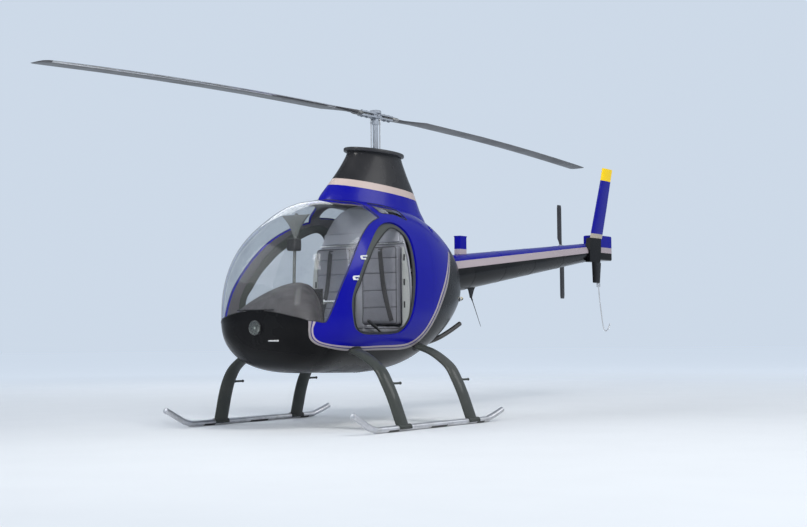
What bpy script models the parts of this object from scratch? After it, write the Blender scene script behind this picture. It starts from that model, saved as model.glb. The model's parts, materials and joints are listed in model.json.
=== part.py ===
"""Light two-seat piston helicopter, parked on its skids, its two doors taken off.

Metres, +Z up, nose towards -Y, the aircraft's port side towards +X, skid bottoms at z = 0.
Every y below is a station: its distance aft of the rotor mast. The empty "airframe" puts the
stations in place, so that the origin is under the middle of the whole machine.
"""

import math

import bmesh
import bpy
import numpy as np
from mathutils import Vector

# Driving sizes
GAP = 0.0003                # between pieces that touch
SMALL_BEVEL = 0.004
THIN_SIDES = 8              # of a whip's, rod's, lever's, small shaft's and large shaft's round section
ROD_SIDES = 10
LEVER_SIDES = 12
SHAFT_SIDES = 20
DISC_SIDES = 24
SKIN_GAP = 0.0004           # between the pod's skin and what stands on it
WALL = 0.018                # cabin and cowl panels
ROTOR_RADIUS = 3.835
HUB_Z = 2.690
TAIL_ROTOR_RADIUS = 0.535
TAIL_ROTOR_Y = 4.250
TAIL_ROTOR_Z = 1.690
TAIL_ROTOR_X = -0.400
SKID_X = 0.944
SKID_RADIUS = 0.026
TAIL_END_Y = 4.580
MAST_Y = (ROTOR_RADIUS - TAIL_END_Y) / 2

# The fuselage's sections: station, half width, lowest z, z of the widest line, highest z.
# The first and last are the tips of the nose and the tail of the pod.
BODY_SECTIONS = (
    (-1.670, 0.000, 0.890, 0.890, 0.890),
    (-1.655, 0.232, 0.794, 0.890, 1.041),
    (-1.615, 0.364, 0.667, 0.890, 1.215),
    (-1.540, 0.457, 0.575, 0.900, 1.428),
    (-1.420, 0.536, 0.495, 0.910, 1.595),
    (-1.240, 0.578, 0.453, 0.930, 1.727),
    (-1.000, 0.585, 0.446, 0.950, 1.850),
    (-0.700, 0.570, 0.438, 0.980, 1.894),
    (-0.350, 0.546, 0.436, 1.000, 1.908),
    (0.000, 0.516, 0.480, 1.020, 1.899),
    (0.300, 0.479, 0.578, 1.060, 1.857),
    (0.600, 0.413, 0.712, 1.110, 1.761),
    (0.850, 0.331, 0.871, 1.170, 1.612),
    (1.020, 0.235, 1.019, 1.210, 1.464),
    (1.093, 0.131, 1.147, 1.235, 1.367),
    (1.113, 0.000, 1.235, 1.235, 1.235),
)
BODY_STEPS = 2              # rings between one section and the next
BODY_SIDES = 32
LOWER_POWER = 2.6           # squareness of a section below and above its widest line
UPPER_POWER = 2.4

# Panel lines in the side view, as (station, z)
SILL_LINE = ((-1.800, 0.957), (-1.663, 0.955), (-1.640, 0.916), (-1.594, 0.886), (-1.554, 0.866))
CORNER_LINE = ((-1.506, 0.860), (-1.464, 0.850), (-1.435, 0.856))
PILLAR_LINE = ((-1.405, 0.909), (-1.344, 1.026), (-1.285, 1.129), (-1.212, 1.225), (-1.110, 1.348),
               (-1.005, 1.458), (-0.906, 1.545), (-0.781, 1.627), (-0.660, 1.684), (-0.530, 1.726),
               (-0.490, 1.738), (-0.520, 1.775), (-0.545, 1.825), (-0.575, 1.853), (-0.640, 1.868),
               (-0.800, 1.880), (-0.810, 2.050))
STRIPE_FRONT_LINE = ((-1.549, 0.793), (-1.533, 0.739), (-1.502, 0.701), (-1.438, 0.669), (-1.288, 0.640),
                     (-1.098, 0.627), (-0.652, 0.627), (-0.321, 0.628), (-0.160, 0.647), (-0.043, 0.689),
                     (0.068, 0.761))
STRIPE_REAR_LINE = ((0.148, 0.835), (0.246, 0.940), (0.328, 1.029), (0.413, 1.119), (0.487, 1.210),
                    (0.552, 1.311), (0.608, 1.404), (0.671, 1.481), (0.735, 1.530), (0.850, 1.560),
                    (1.400, 1.560))
COWL_SEAM_LINE = ((0.137, 1.008), (0.165, 1.200), (0.180, 1.380), (0.190, 1.560), (0.195, 2.050))
REGION_LOW_Z = 0.300
REGION_FRONT_Y = -1.900
DOORWAY_LINE = ((-1.172, 1.000), (-1.136, 1.108), (-1.055, 1.220), (-0.959, 1.338), (-0.856, 1.457),
                (-0.672, 1.600), (-0.520, 1.675), (-0.351, 1.706), (-0.219, 1.680), (-0.132, 1.597),
                (-0.117, 1.458), (-0.136, 1.217), (-0.188, 1.003), (-0.258, 0.875), (-0.373, 0.783),
                (-0.520, 0.756), (-0.815, 0.751), (-0.985, 0.757), (-1.111, 0.800), (-1.155, 0.875))
# The inner edge of the flange that a door closes against
JAMB_LINE = ((-1.120, 0.960), (-1.100, 1.070), (-1.022, 1.166), (-0.944, 1.272), (-0.827, 1.391),
             (-0.729, 1.478), (-0.546, 1.589), (-0.361, 1.665), (-0.225, 1.630), (-0.162, 1.540),
             (-0.167, 1.380), (-0.195, 1.150), (-0.232, 0.985), (-0.290, 0.865), (-0.396, 0.795),
             (-0.560, 0.770), (-0.960, 0.770), (-1.070, 0.805), (-1.112, 0.880))
JAMB_OVERLAP = 0.022        # behind the cabin frame's edge
JAMB_DEPTHS = (-WALL - 0.0008, -WALL - 0.0068)
DOORWAY_X = (0.25, 0.80)
# A roof window in the plan view, as (x, station)
ROOF_WINDOW_LINE = ((0.205, -0.425), (0.300, -0.428), (0.334, -0.400), (0.330, -0.300), (0.326, -0.200),
                    (0.338, -0.110), (0.346, -0.030), (0.310, -0.030), (0.255, -0.060), (0.215, -0.180),
                    (0.200, -0.320))
ROOF_Z = (1.55, 2.05)

# The fixed halves of the doors' hinges: the hinge line's two points as (x, station, z), a
# knuckle's radius, the space between its two lugs, a lug's length, and where its arm's root is
HINGE_POINTS = ((0.585, -1.090, 1.205), (0.560, -0.947, 1.375))
HINGE_RADIUS = 0.009
HINGE_SPACE = 0.030
HINGE_LUG = 0.014
HINGE_ROOT = Vector((-0.018, -0.034, 0.0))
HINGE_ARM_SHARE = 0.8       # of the knuckle's radius

# The mast fairing's rings: z, half width, half length, station of its middle
FAIRING_RINGS = (
    (1.700, 0.235, 0.828, -0.060),
    (1.800, 0.205, 0.784, -0.070),
    (1.870, 0.187, 0.736, -0.080),
    (1.930, 0.174, 0.700, -0.078),
    (2.050, 0.155, 0.598, -0.050),
    (2.180, 0.140, 0.482, -0.030),
    (2.300, 0.130, 0.390, -0.018),
    (2.335, 0.130, 0.375, -0.020),
)
FAIRING_SIDES = 32
FAIRING_WALL = 0.010
FAIRING_OPEN = 0.020        # how far the hollow runs out at the foot and at the top
# The fairing's cap: height above its foot, lip beyond the fairing's top ring
CAP_RINGS = ((GAP, 0.010), (0.008, 0.030), (0.030, 0.030), (0.038, 0.018))
CAP_BORE = 0.054
CAP_BORE_Z = (2.3, 2.4)
MAST_BASE_Z = (1.800, 2.280)
MAST_BASE_RADII = (0.085, 0.050)
MAST_RADIUS = 0.024

# The tail boom: station, height of its middle and radius at its two ends
BOOM_FRONT = (0.800, 1.281, 0.190)
BOOM_REAR = (4.200, 1.672, 0.098)
BOOM_SIDES = 24
# The drive's housing on the boom: half width, stations, top, bevel
BOOM_HOUSING_X = 0.034
BOOM_HOUSING_Y = (1.350, 1.475)
BOOM_HOUSING_TOP = 1.700
BOOM_HOUSING_BEVEL = 0.008
# The whip aerial's gusset under the boom, as (station, z), and the whip itself
WHIP_GUSSET_LINE = ((1.480, 1.250), (1.720, 1.280), (1.605, 1.105), (1.590, 1.105))
WHIP_GUSSET_HALF = 0.008
WHIP_ENDS = ((0, 1.598, 1.120), (0, 1.775, 0.830))
WHIP_RADIUS = 0.0045

# A landing leg's middle line as (x, z), from inside the belly to the skid. Upwards it leans forward.
LEG_LINE = ((0.300, 0.665), (0.440, 0.645), (0.560, 0.608), (0.660, 0.552), (0.755, 0.475),
            (0.816, 0.375), (0.869, 0.250), (0.911, 0.120), (0.940, 0.030))
LEG_STATIONS = {"front": -0.995, "rear": 0.042}
LEG_LEAN = 0.040
LEG_LEAN_Z = 0.370                 # the height at which the lean is complete
LEG_HALF_SIZES = (0.026, 0.080)    # across the leg's arc and along the machine
PEG_X = 0.818                      # the handling peg on each leg
PEG_Z = 0.367
PEG_LENGTH = 0.190
PEG_RADIUS = 0.009
# A skid tube's middle line as (station, height above its straight stretch)
SKID_LINE = ((-1.670, 0.125), (-1.600, 0.093), (-1.520, 0.055), (-1.450, 0.023), (-1.380, 0.005),
             (-1.300, 0.000), (0.220, 0.000), (0.300, 0.006), (0.370, 0.021),
             (0.450, 0.043), (0.536, 0.069))
SKID_SIDES = 12
SKID_TURN = math.pi / SKID_SIDES                     # so that a flat side is underneath
SKID_Z = SKID_RADIUS * math.cos(SKID_TURN)

# Cabin
CABIN_CLEARANCE = 0.008     # between what stands in the cabin and the panels, past the jambs
FLOOR_TOP = 0.535
FLOOR_THICKNESS = 0.020
FLOOR_CLEARANCE = SKIN_GAP
FLOOR_Y = (-1.540, -0.070)
STAND_Z = FLOOR_TOP + GAP
BULKHEAD_Y = (-0.215, -0.195)
BACK_Y = BULKHEAD_Y[0] - GAP
SEAT_X = (0.045, 0.438)
SEAT_BOX_TOP = 0.720
SEAT_CUSHION_TOP = 0.820
# Each seat's boxes: name, front station, lowest z, highest z, bevel
SEAT_PARTS = (
    ("seat_box", -0.790, STAND_Z, SEAT_BOX_TOP, 0.010),
    ("seat_cushion", -0.805, SEAT_BOX_TOP + GAP, SEAT_CUSHION_TOP, 0.020),
    ("seat_back", -0.320, SEAT_CUSHION_TOP + GAP, 1.525, 0.020),
)
# The console's arched sections: station, half width, lowest z, highest z
CONSOLE_SECTIONS = (
    (-1.620, 0.300, 0.700, 0.905),
    (-1.540, 0.420, 0.620, 0.990),
    (-1.400, 0.430, 0.560, 1.090),
    (-1.250, 0.350, STAND_Z, 1.160),
    (-1.120, 0.250, STAND_Z, 1.185),
    (-1.050, 0.215, STAND_Z, 1.170),
)
CONSOLE_ARCH_STEPS = 10
CONSOLE_SHOULDER = 0.45     # share of a section's height at which its arch starts
PANEL_MARGINS = (0.020, 0.090, 0.040)    # of the instrument panel: at its sides, below, above
PANEL_THICKNESS = 0.018
# The compass post's middle line, its half sizes, and what it carries: low corner, high corner, bevel
POST_LINE = ((0, -1.170, 1.100), (0, -1.160, 1.400), (0, -1.130, 1.745))
POST_HALF_SIZES = (0.011, 0.016)
COMPASS_BOX = ((-0.045, -1.215, 1.440), (0.045, -1.120, 1.540), 0.012)
# The bracket at the post's top in the front view, as (x, z), and its stations
POST_BRACKET_LINE = ((-0.022, 1.560), (0.022, 1.560), (0.070, 1.660), (0.140, 1.732), (-0.140, 1.732),
                     (-0.070, 1.660))
POST_BRACKET_Y = (-1.150, -1.134)
# Hand controls, each a bent tube: middle line and radius
CYCLIC_LINE = ((0, -0.858, FLOOR_TOP - FLOOR_THICKNESS), (0, -0.875, 0.700), (0, -0.850, 0.900),
               (0, -0.800, 1.040))
CYCLIC_RADIUS = 0.014
UNDER_FLOOR = ((-0.5, -1.5, 0.0), (0.5, 0.0, STAND_Z))
CYCLIC_BAR = ((-0.290, -0.802, 1.030), (0.290, -0.802, 1.030), 0.011)
CYCLIC_GRIP_X = 0.280
CYCLIC_GRIP = ((-0.802, 0.930), (-0.815, 1.060), 0.017)    # its ends as (station, z), its radius
COLLECTIVE_LINE = ((-0.420, 0.685), (-0.520, 0.725), (-0.660, 0.810), (-0.780, 0.870))
COLLECTIVE_RADIUS = 0.012
COLLECTIVE_X = {"port": (SEAT_X[1], 0.458), "starboard": (-SEAT_X[0], -0.022)}   # seat's side, lever
COLLECTIVE_PIVOT_RADIUS = 0.016

# Engine, fan, muffler and tail pipe
ENGINE_HALF_WIDTH = 0.265
ENGINE_REAR_Y = 0.420
ENGINE_BEVEL = 0.020
FAN_Z = 0.930
# The fan's discs: how far behind the engine each starts and ends, radius, sides
FAN_DISCS = ((GAP, 0.085, 0.190, 28), (0.060, 0.120, 0.060, SHAFT_SIDES))
MUFFLER_ENDS = ((-0.180, 0.300, 0.666), (0.180, 0.300, 0.666))
MUFFLER_RADIUS = 0.038
MUFFLER_SIDES = 16
ENGINE_Z = (MUFFLER_ENDS[0][2] + MUFFLER_RADIUS * math.cos(math.pi / MUFFLER_SIDES) + GAP, 1.180)
EXHAUST_RADIUS = 0.021
EXHAUST_HOLE = 0.004        # around the pipe, through the cowl
EXHAUST_LINE = ((0.140, 0.300, 0.666), (0.215, 0.400, 0.676), (0.280, 0.520, 0.712),
                (0.300, 0.700, 0.775), (0.305, 0.890, 0.850))
AIR_OPENING = ((-0.170, 0.440, 0.500), (0.150, 0.760, 0.900), 0.030)

# Nose fittings and tail light
LAMP_Z = 0.815
LAMP_RADIUS = 0.060
LAMP_HOLE_Y = (-1.800, -1.550)
LAMP_Y = (-1.640, -1.664, -1.674)    # the lamp's rear, its rim, the middle of its lens
LAMP_LENS_SHARE = 0.7
PITOT_ENDS = ((0.200, -1.560, 0.712), (0.200, -1.735, 0.712))
PITOT_RADIUS = 0.006
TAIL_LIGHT_ENDS = ((0.235, 0.800, 1.060), (0.302, 0.925, 1.080))
TAIL_LIGHT_RADII = (0.022, 0.014)

# Fins on the boom's port side. A section is (share of the chord, share of the half thickness).
FIN_X = (0.098, 0.124)
FIN_MIDDLE_X = (FIN_X[0] + FIN_X[1]) / 2
FIN_HALF_THICKNESS = 0.013
FIN_SECTION = ((0.00, 0.0), (0.05, 0.55), (0.18, 0.92), (0.36, 1.0), (0.65, 0.66), (1.00, 0.10),
               (1.00, -0.10), (0.65, -0.66), (0.36, -1.0), (0.18, -0.92), (0.05, -0.55))
FIN_PLATE_X = (0.068, 0.124)
FIN_PLATE_LINE = ((3.942, 1.545), (4.200, 1.545), (4.222, 1.680), (4.226, 1.815), (3.970, 1.815),
                  (3.945, 1.680))
# Each fin by name, as rows of (z, leading edge, trailing edge)
FINS = {
    "upper_fin": ((1.8153, 3.976, 4.272), (2.150, 4.120, 4.400), (2.4797, 4.262, 4.516)),
    "upper_fin_tip": ((2.480, 4.2622, 4.5162), (2.625, 4.308, 4.566)),
    "lower_fin": ((1.315, 4.033, 4.208), (1.5447, 4.016, 4.242)),
}
TAIL_SKID_LINE = ((4.165, 1.290), (4.200, 1.100), (4.240, 0.940), (4.268, 0.846), (4.298, 0.797),
                  (4.342, 0.779), (4.400, 0.805), (4.448, 0.858))
TAIL_SKID_RADIUS = 0.0065
# The clevis that holds it under the fin: half width, stations, z, bevel
CLEVIS_HALF = 0.009
CLEVIS_Y = (4.133, 4.200)
CLEVIS_Z = (1.270, 1.3147)
# The housing at the boom's end: low corner, high corner, bevel
TAIL_HOUSING = (Vector((-0.088, BOOM_REAR[0] + GAP, 1.580)), Vector((0.088, TAIL_END_Y, 1.860)), 0.015)
# The stabilizer on the starboard side: x, leading edge, trailing edge, z
STABILIZER_SECTIONS = ((-0.060, 3.260, 3.600, 1.590), (-0.800, 3.330, 3.600, 1.600))
STABILIZER_HALF_THICKNESS = 0.016
TAIL_GEARBOX_ENDS = (-0.0883, -0.240)
TAIL_GEARBOX_RADII = (0.046, 0.040)
TAIL_SHAFT_RADIUS = 0.015
TAIL_SHAFT_END = 0.012      # how far it stands out of the yoke
TAIL_YOKE_HALF_SIZES = (0.018, 0.035, 0.080)
# A tail blade's sections: distance from the shaft, leading and trailing edge from the pitch axis,
# half thickness
TAIL_BLADE_SECTIONS = ((TAIL_YOKE_HALF_SIZES[2] + GAP, 0.022, 0.030, 0.010), (0.150, 0.026, 0.079, 0.007),
                       (TAIL_ROTOR_RADIUS, 0.026, 0.079, 0.005))

HUB_HALF_SIZES = (0.036, 0.240, 0.022)
HUB_BEVEL = 0.006
HUB_TOP = 2.742
HUB_CAP_RADIUS = 0.052
SWASH_Z = (2.292, 2.312)
SWASH_RADIUS = 0.050
SWASH_BORE_Z = (2.2, 2.4)
LINK_PLACE = (0.022, 0.034)
LINK_RADIUS = 0.006
BLADE_DROOP = 0.110
# A main blade's sections, as a tail blade's
BLADE_SECTIONS = ((HUB_HALF_SIZES[1] + GAP, 0.040, 0.040, 0.018), (0.420, 0.042, 0.046, 0.014),
                  (0.620, 0.046, 0.137, 0.011), (1.600, 0.046, 0.137, 0.011),
                  (2.700, 0.046, 0.137, 0.011), (3.600, 0.046, 0.137, 0.010),
                  (ROTOR_RADIUS, 0.038, 0.125, 0.006))

# Each body's pieces, by material
PIECES = {
    "airframe": {
        "black_paint": ("nose_belly_shell", "cowl_lower", "lower_fin", "fin_plate"),
        "blue_paint": ("cabin_frame", "cowl_upper", "mast_fairing", "tail_boom", "boom_top_housing",
                       "tail_end_housing", "upper_fin", "stabilizer"),
        "yellow_paint": ("upper_fin_tip",),
        "charcoal_paint": ("mast_fairing_cap", "mast_base", "whip_antenna", "door_jamb_port",
                           "door_jamb_starboard"),
        "clear_window": ("windshield", "roof_window_port", "roof_window_starboard"),
        "cabin_trim": ("cabin_floor", "seat_bulkhead", "seat_box_port", "seat_box_starboard",
                       "compass_post", "cyclic_control", "collective_lever_port",
                       "collective_lever_starboard"),
        "seat_cover": ("seat_cushion_port", "seat_cushion_starboard", "seat_back_port",
                       "seat_back_starboard"),
        "console_cover": ("instrument_console", "instrument_panel"),
        "dark_metal": ("engine_block", "cooling_fan", "exhaust", "tail_gearbox"),
        "leg_paint": ("front_leg_port", "front_leg_starboard", "rear_leg_port", "rear_leg_starboard"),
        "bare_metal": ("skid_port", "skid_starboard", "tail_skid"),
        "white_plastic": ("tail_light", "pitot_tube"),
        "lamp_lens": ("landing_lamp",),
    },
    "main_rotor": {"bare_metal": ("main_mast", "pitch_control", "rotor_hub"),
                   "blade_paint": ("main_blade_1", "main_blade_2")},
    "tail_rotor": {"bare_metal": ("tail_rotor_hub",), "blade_paint": ("tail_blade_1", "tail_blade_2")},
}

COLOURS = {
    # name: red, green, blue, roughness, metallic
    "blue_paint": (0.010, 0.012, 0.330, 0.25, 0.0),
    "black_paint": (0.010, 0.010, 0.011, 0.30, 0.0),
    "charcoal_paint": (0.045, 0.046, 0.050, 0.45, 0.0),
    "leg_paint": (0.050, 0.055, 0.052, 0.45, 0.0),
    "bare_metal": (0.560, 0.560, 0.570, 0.35, 1.0),
    "dark_metal": (0.110, 0.110, 0.115, 0.45, 0.8),
    "clear_window": (0.600, 0.650, 0.680, 0.05, 0.0),
    "seat_cover": (0.160, 0.155, 0.160, 0.80, 0.0),
    "cabin_trim": (0.120, 0.120, 0.125, 0.70, 0.0),
    "console_cover": (0.090, 0.080, 0.080, 0.65, 0.0),
    "blade_paint": (0.060, 0.060, 0.065, 0.45, 0.0),
    "yellow_paint": (0.900, 0.620, 0.010, 0.35, 0.0),
    "white_plastic": (0.800, 0.800, 0.780, 0.35, 0.0),
    "lamp_lens": (0.500, 0.500, 0.480, 0.10, 0.0),
}


def clear_scene():
    for obj in list(bpy.data.objects):
        bpy.data.objects.remove(obj, do_unlink=True)


def make_materials():
    made = {}
    for name, (red, green, blue, roughness, metallic) in COLOURS.items():
        material = bpy.data.materials.new(name)
        material.use_nodes = True
        shader = material.node_tree.nodes["Principled BSDF"]
        shader.inputs["Base Color"].default_value = (red, green, blue, 1.0)
        shader.inputs["Roughness"].default_value = roughness
        shader.inputs["Metallic"].default_value = metallic
        material.diffuse_color = (red, green, blue, 1.0)
        made[name] = material
    return made


def make_empty(name, place, parent=None):
    empty = bpy.data.objects.new(name, None)
    bpy.context.scene.collection.objects.link(empty)
    empty.parent = parent
    empty.location = place
    empty.empty_display_size = 0.1
    return empty


def add_mesh(name, bm):
    """A new object from a bmesh, in airframe coordinates."""
    bmesh.ops.remove_doubles(bm, verts=bm.verts, dist=1e-6)
    bmesh.ops.recalc_face_normals(bm, faces=bm.faces)
    mesh = bpy.data.meshes.new(name)
    bm.to_mesh(mesh)
    bm.free()
    obj = bpy.data.objects.new(name, mesh)
    bpy.context.scene.collection.objects.link(obj)
    return obj


def combine(obj, other, operation, keep_other=False):
    """Cuts, joins or intersects obj with other, and leaves plain geometry."""
    modifier = obj.modifiers.new("combine", "BOOLEAN")
    modifier.operation = operation
    modifier.object = other
    modifier.solver = "EXACT"
    bpy.context.view_layer.update()
    graph = bpy.context.evaluated_depsgraph_get()
    mesh = bpy.data.meshes.new_from_object(obj.evaluated_get(graph))
    obj.modifiers.remove(modifier)
    old = obj.data
    obj.data = mesh
    bpy.data.meshes.remove(old)
    if not keep_other:
        bpy.data.objects.remove(other, do_unlink=True)
    return obj


def cut(obj, other, keep_other=False):
    return combine(obj, other, "DIFFERENCE", keep_other)


def join(obj, other):
    return combine(obj, other, "UNION")


def common(obj, other, keep_other=False):
    return combine(obj, other, "INTERSECT", keep_other)


def loft(name, rings, close_ends=True):
    """A closed skin over rings that have the same number of points."""
    bm = bmesh.new()
    grid = [[bm.verts.new(point) for point in ring] for ring in rings]
    for low, high in zip(grid, grid[1:]):
        count = len(low)
        for k in range(count):
            bm.faces.new((low[k], low[(k + 1) % count], high[(k + 1) % count], high[k]))
    if close_ends:
        bm.faces.new(grid[0])
        bm.faces.new(grid[-1])
    return add_mesh(name, bm)


def prism_x(name, line, low_x, high_x):
    """A side-view outline of (station, z) points, pulled along x."""
    return loft(name, [[(x, y, z) for y, z in line] for x in (low_x, high_x)])


def prism_z(name, line, low_z, high_z):
    """A plan outline of (x, station) points, pulled along z."""
    return loft(name, [[(x, y, z) for x, y in line] for z in (low_z, high_z)])


def box(name, low, high, bevel=0.0):
    bm = bmesh.new()
    bmesh.ops.create_cube(bm, size=1.0)
    size = Vector(high) - Vector(low)
    bmesh.ops.scale(bm, vec=size, verts=bm.verts)
    bmesh.ops.translate(bm, vec=Vector(low) + size / 2, verts=bm.verts)
    if bevel:
        bmesh.ops.bevel(bm, geom=bm.edges, offset=bevel, segments=2, affect="EDGES", profile=0.5)
    return add_mesh(name, bm)


def smooth_points(points, steps, closed):
    """A Catmull-Rom curve through the points, with steps points for each stretch."""
    points = [np.array(point, float) for point in points]
    count = len(points)
    stretches = count if closed else count - 1
    found = []
    for k in range(stretches):
        if closed:
            p0, p1, p2, p3 = (points[(k + j) % count] for j in (-1, 0, 1, 2))
        else:
            p0, p1, p2, p3 = (points[min(max(k + j, 0), count - 1)] for j in (-1, 0, 1, 2))
        for t in np.arange(steps) / steps:
            found.append(0.5 * (2 * p1 + (p2 - p0) * t + (2 * p0 - 5 * p1 + 4 * p2 - p3) * t * t
                                + (3 * p1 - p0 - 3 * p2 + p3) * t ** 3))
    if not closed:
        found.append(points[-1])
    return found


def shrink(line, distance):
    """The closed outline moved inwards by distance, or outwards if it is negative."""
    points = np.array(line, float)
    before = points - np.roll(points, 1, axis=0)
    after = np.roll(points, -1, axis=0) - points
    area = np.sum(points[:, 0] * np.roll(points[:, 1], -1) - np.roll(points[:, 0], -1) * points[:, 1])
    turn = 1.0 if area > 0 else -1.0
    moved = []
    for point, one, two in zip(points, before, after):
        normal_one = turn * np.array((-one[1], one[0])) / np.linalg.norm(one)
        normal_two = turn * np.array((-two[1], two[0])) / np.linalg.norm(two)
        middle = normal_one + normal_two
        moved.append(point + distance * middle / max(0.5, 1 + float(normal_one @ normal_two)))
    return [tuple(point) for point in moved]


def tube(name, path, half_sizes, sides=10, up=(0.0, 0.0, 1.0), turn=0.0):
    """A tube of elliptic section along a path. half_sizes holds, for each point or for all, the
    half thickness across the path and the half thickness towards up."""
    path = [Vector(point) for point in path]
    if not isinstance(half_sizes[0], (tuple, list)):
        half_sizes = [half_sizes] * len(path)
    rings = []
    for k, point in enumerate(path):
        along = (path[min(k + 1, len(path) - 1)] - path[max(k - 1, 0)]).normalized()
        across = along.cross(Vector(up)).normalized()
        upward = across.cross(along)
        wide, tall = half_sizes[k]
        angles = [turn + 2 * math.pi * j / sides for j in range(sides)]
        rings.append([point + across * wide * math.cos(a) + upward * tall * math.sin(a) for a in angles])
    return loft(name, rings)


def cylinder(name, start, end, radius, sides=20, end_radius=None):
    start = Vector(start)
    end = Vector(end)
    along = (end - start).normalized()
    side = Vector((1, 0, 0)) if abs(along.x) < 0.9 else Vector((0, 1, 0))
    across = along.cross(side).normalized()
    upward = across.cross(along)
    rings = []
    for point, r in ((start, radius), (end, radius if end_radius is None else end_radius)):
        angles = [2 * math.pi * (j + 0.5) / sides for j in range(sides)]
        rings.append([point + across * r * math.cos(a) + upward * r * math.sin(a) for a in angles])
    return loft(name, rings)


def body_rings():
    """The fuselage's rings between its tips, and the two tips."""
    rows = smooth_points(BODY_SECTIONS, BODY_STEPS, closed=False)
    rows = rows[BODY_STEPS:-BODY_STEPS]
    rings = []
    for y, half_width, low, widest, high in rows:
        ring = []
        for k in range(BODY_SIDES):
            angle = 2 * math.pi * k / BODY_SIDES
            c, s = math.cos(angle), math.sin(angle)
            power = 2 / (UPPER_POWER if s >= 0 else LOWER_POWER)
            height = high - widest if s >= 0 else widest - low
            x = half_width * math.copysign(abs(c) ** power, c)
            z = widest + height * math.copysign(abs(s) ** power, s)
            ring.append((x, y, z))
        rings.append(ring)
    nose = (0.0, BODY_SECTIONS[0][0], BODY_SECTIONS[0][3])
    tail = (0.0, BODY_SECTIONS[-1][0], BODY_SECTIONS[-1][3])
    return nose, rings, tail


def body_solid(name, offset):
    """The fuselage's outside, moved outwards by offset."""
    nose, rings, tail = body_rings()
    bm = bmesh.new()
    grid = [[bm.verts.new(point) for point in ring] for ring in rings]
    count = BODY_SIDES
    for low, high in zip(grid, grid[1:]):
        for k in range(count):
            bm.faces.new((low[k], low[(k + 1) % count], high[(k + 1) % count], high[k]))
    for tip, ring in ((nose, grid[0]), (tail, grid[-1])):
        pole = bm.verts.new(tip)
        for k in range(count):
            bm.faces.new((pole, ring[k], ring[(k + 1) % count]))
    bmesh.ops.triangulate(bm, faces=bm.faces, quad_method="FIXED")
    bmesh.ops.recalc_face_normals(bm, faces=bm.faces)
    bm.normal_update()
    moved = [(vert, vert.co + vert.normal * offset) for vert in bm.verts]
    for vert, place in moved:
        vert.co = place
    return add_mesh(name, bm)


def shell(name, outer, inner):
    """The space between the fuselage's outside moved by outer and moved by inner."""
    return cut(body_solid(name, outer), body_solid("inside", inner))


def reversed_line(line):
    return tuple(reversed(line))


def mirrored_line(line):
    return [(-x, y) for x, y in line]


SHELL_LINE_START = (SILL_LINE[-1],)
SEAM_POINT = STRIPE_FRONT_LINE[-1:]
SEAM_LOW = ((SEAM_POINT[0][0], REGION_LOW_Z),)
TOP_Z = PILLAR_LINE[-1][1]
REAR_Y = STRIPE_REAR_LINE[-1][0]
WINDSHIELD_REGION = (SILL_LINE + CORNER_LINE + PILLAR_LINE
                     + ((REGION_FRONT_Y, TOP_Z), (REGION_FRONT_Y, SILL_LINE[0][1])))
PANEL_REGIONS = {
    "nose_belly_shell": SILL_LINE + STRIPE_FRONT_LINE + SEAM_LOW + ((SILL_LINE[0][0], REGION_LOW_Z),),
    "cabin_frame": (SHELL_LINE_START + CORNER_LINE + PILLAR_LINE + reversed_line(COWL_SEAM_LINE)
                    + reversed_line(STRIPE_FRONT_LINE)),
    "cowl_upper": SEAM_POINT + COWL_SEAM_LINE + ((REAR_Y, TOP_Z),) + reversed_line(STRIPE_REAR_LINE),
    "cowl_lower": SEAM_POINT + STRIPE_REAR_LINE + ((REAR_Y, REGION_LOW_Z),) + SEAM_LOW,
}
BOTH_SIDES = (-0.8, 0.8)
SIDES = {"port": 1, "starboard": -1}
WINDSHIELD_DEPTHS = (-0.001, -0.007)
ROOF_WINDOW_DEPTHS = (-0.002, -0.007)


def one_side(sign, low_x, high_x):
    return sorted((sign * low_x, sign * high_x))


def add_hinge_halves(frame):
    """On the cabin frame, the lugs that hold the knuckles of a door that has been lifted off."""
    for sign in SIDES.values():
        low, high = (Vector((sign * x, y, z)) for x, y, z in HINGE_POINTS)
        axis = (high - low).normalized()
        root = Vector((sign * HINGE_ROOT.x, HINGE_ROOT.y, HINGE_ROOT.z))
        for point in (low, high):
            for way in (-1, 1):
                start = point + axis * way * HINGE_SPACE / 2
                end = start + axis * way * HINGE_LUG
                middle = (start + end) / 2
                join(frame, cylinder("lug", start, end, HINGE_RADIUS, ROD_SIDES))
                join(frame, cylinder("arm", middle, middle + root, HINGE_RADIUS * HINGE_ARM_SHARE,
                                     THIN_SIDES))


def make_cabin_panels():
    """The pod's panels: nose and belly, cabin frame, two cowls, windshield, roof windows, jambs."""
    doorway = smooth_points(DOORWAY_LINE, 2, closed=True)
    jamb_inner = smooth_points(JAMB_LINE, 2, closed=True)
    made = {}
    for name, region in PANEL_REGIONS.items():
        panel = shell(name, 0.0, -WALL)
        common(panel, prism_x("region", shrink(region, GAP / 2), *BOTH_SIDES))
        made[name] = panel
    windshield = shell("windshield", *WINDSHIELD_DEPTHS)
    common(windshield, prism_x("region", shrink(WINDSHIELD_REGION, GAP / 2), *BOTH_SIDES))
    for side, sign in SIDES.items():
        doorway_x = one_side(sign, *DOORWAY_X)
        cut(made["cabin_frame"], prism_x("opening", doorway, *doorway_x))
        jamb = shell(f"door_jamb_{side}", *JAMB_DEPTHS)
        common(jamb, prism_x("region", shrink(doorway, -JAMB_OVERLAP), *doorway_x))
        cut(jamb, prism_x("opening", jamb_inner, *doorway_x))
        line = smooth_points(ROOF_WINDOW_LINE, 2, closed=True)
        line = line if sign > 0 else mirrored_line(line)
        cut(made["cabin_frame"], prism_z("opening", line, *ROOF_Z))
        window = shell(f"roof_window_{side}", *ROOF_WINDOW_DEPTHS)
        common(window, prism_z("region", shrink(line, GAP), *ROOF_Z))
    add_hinge_halves(made["cabin_frame"])
    return made


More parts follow.
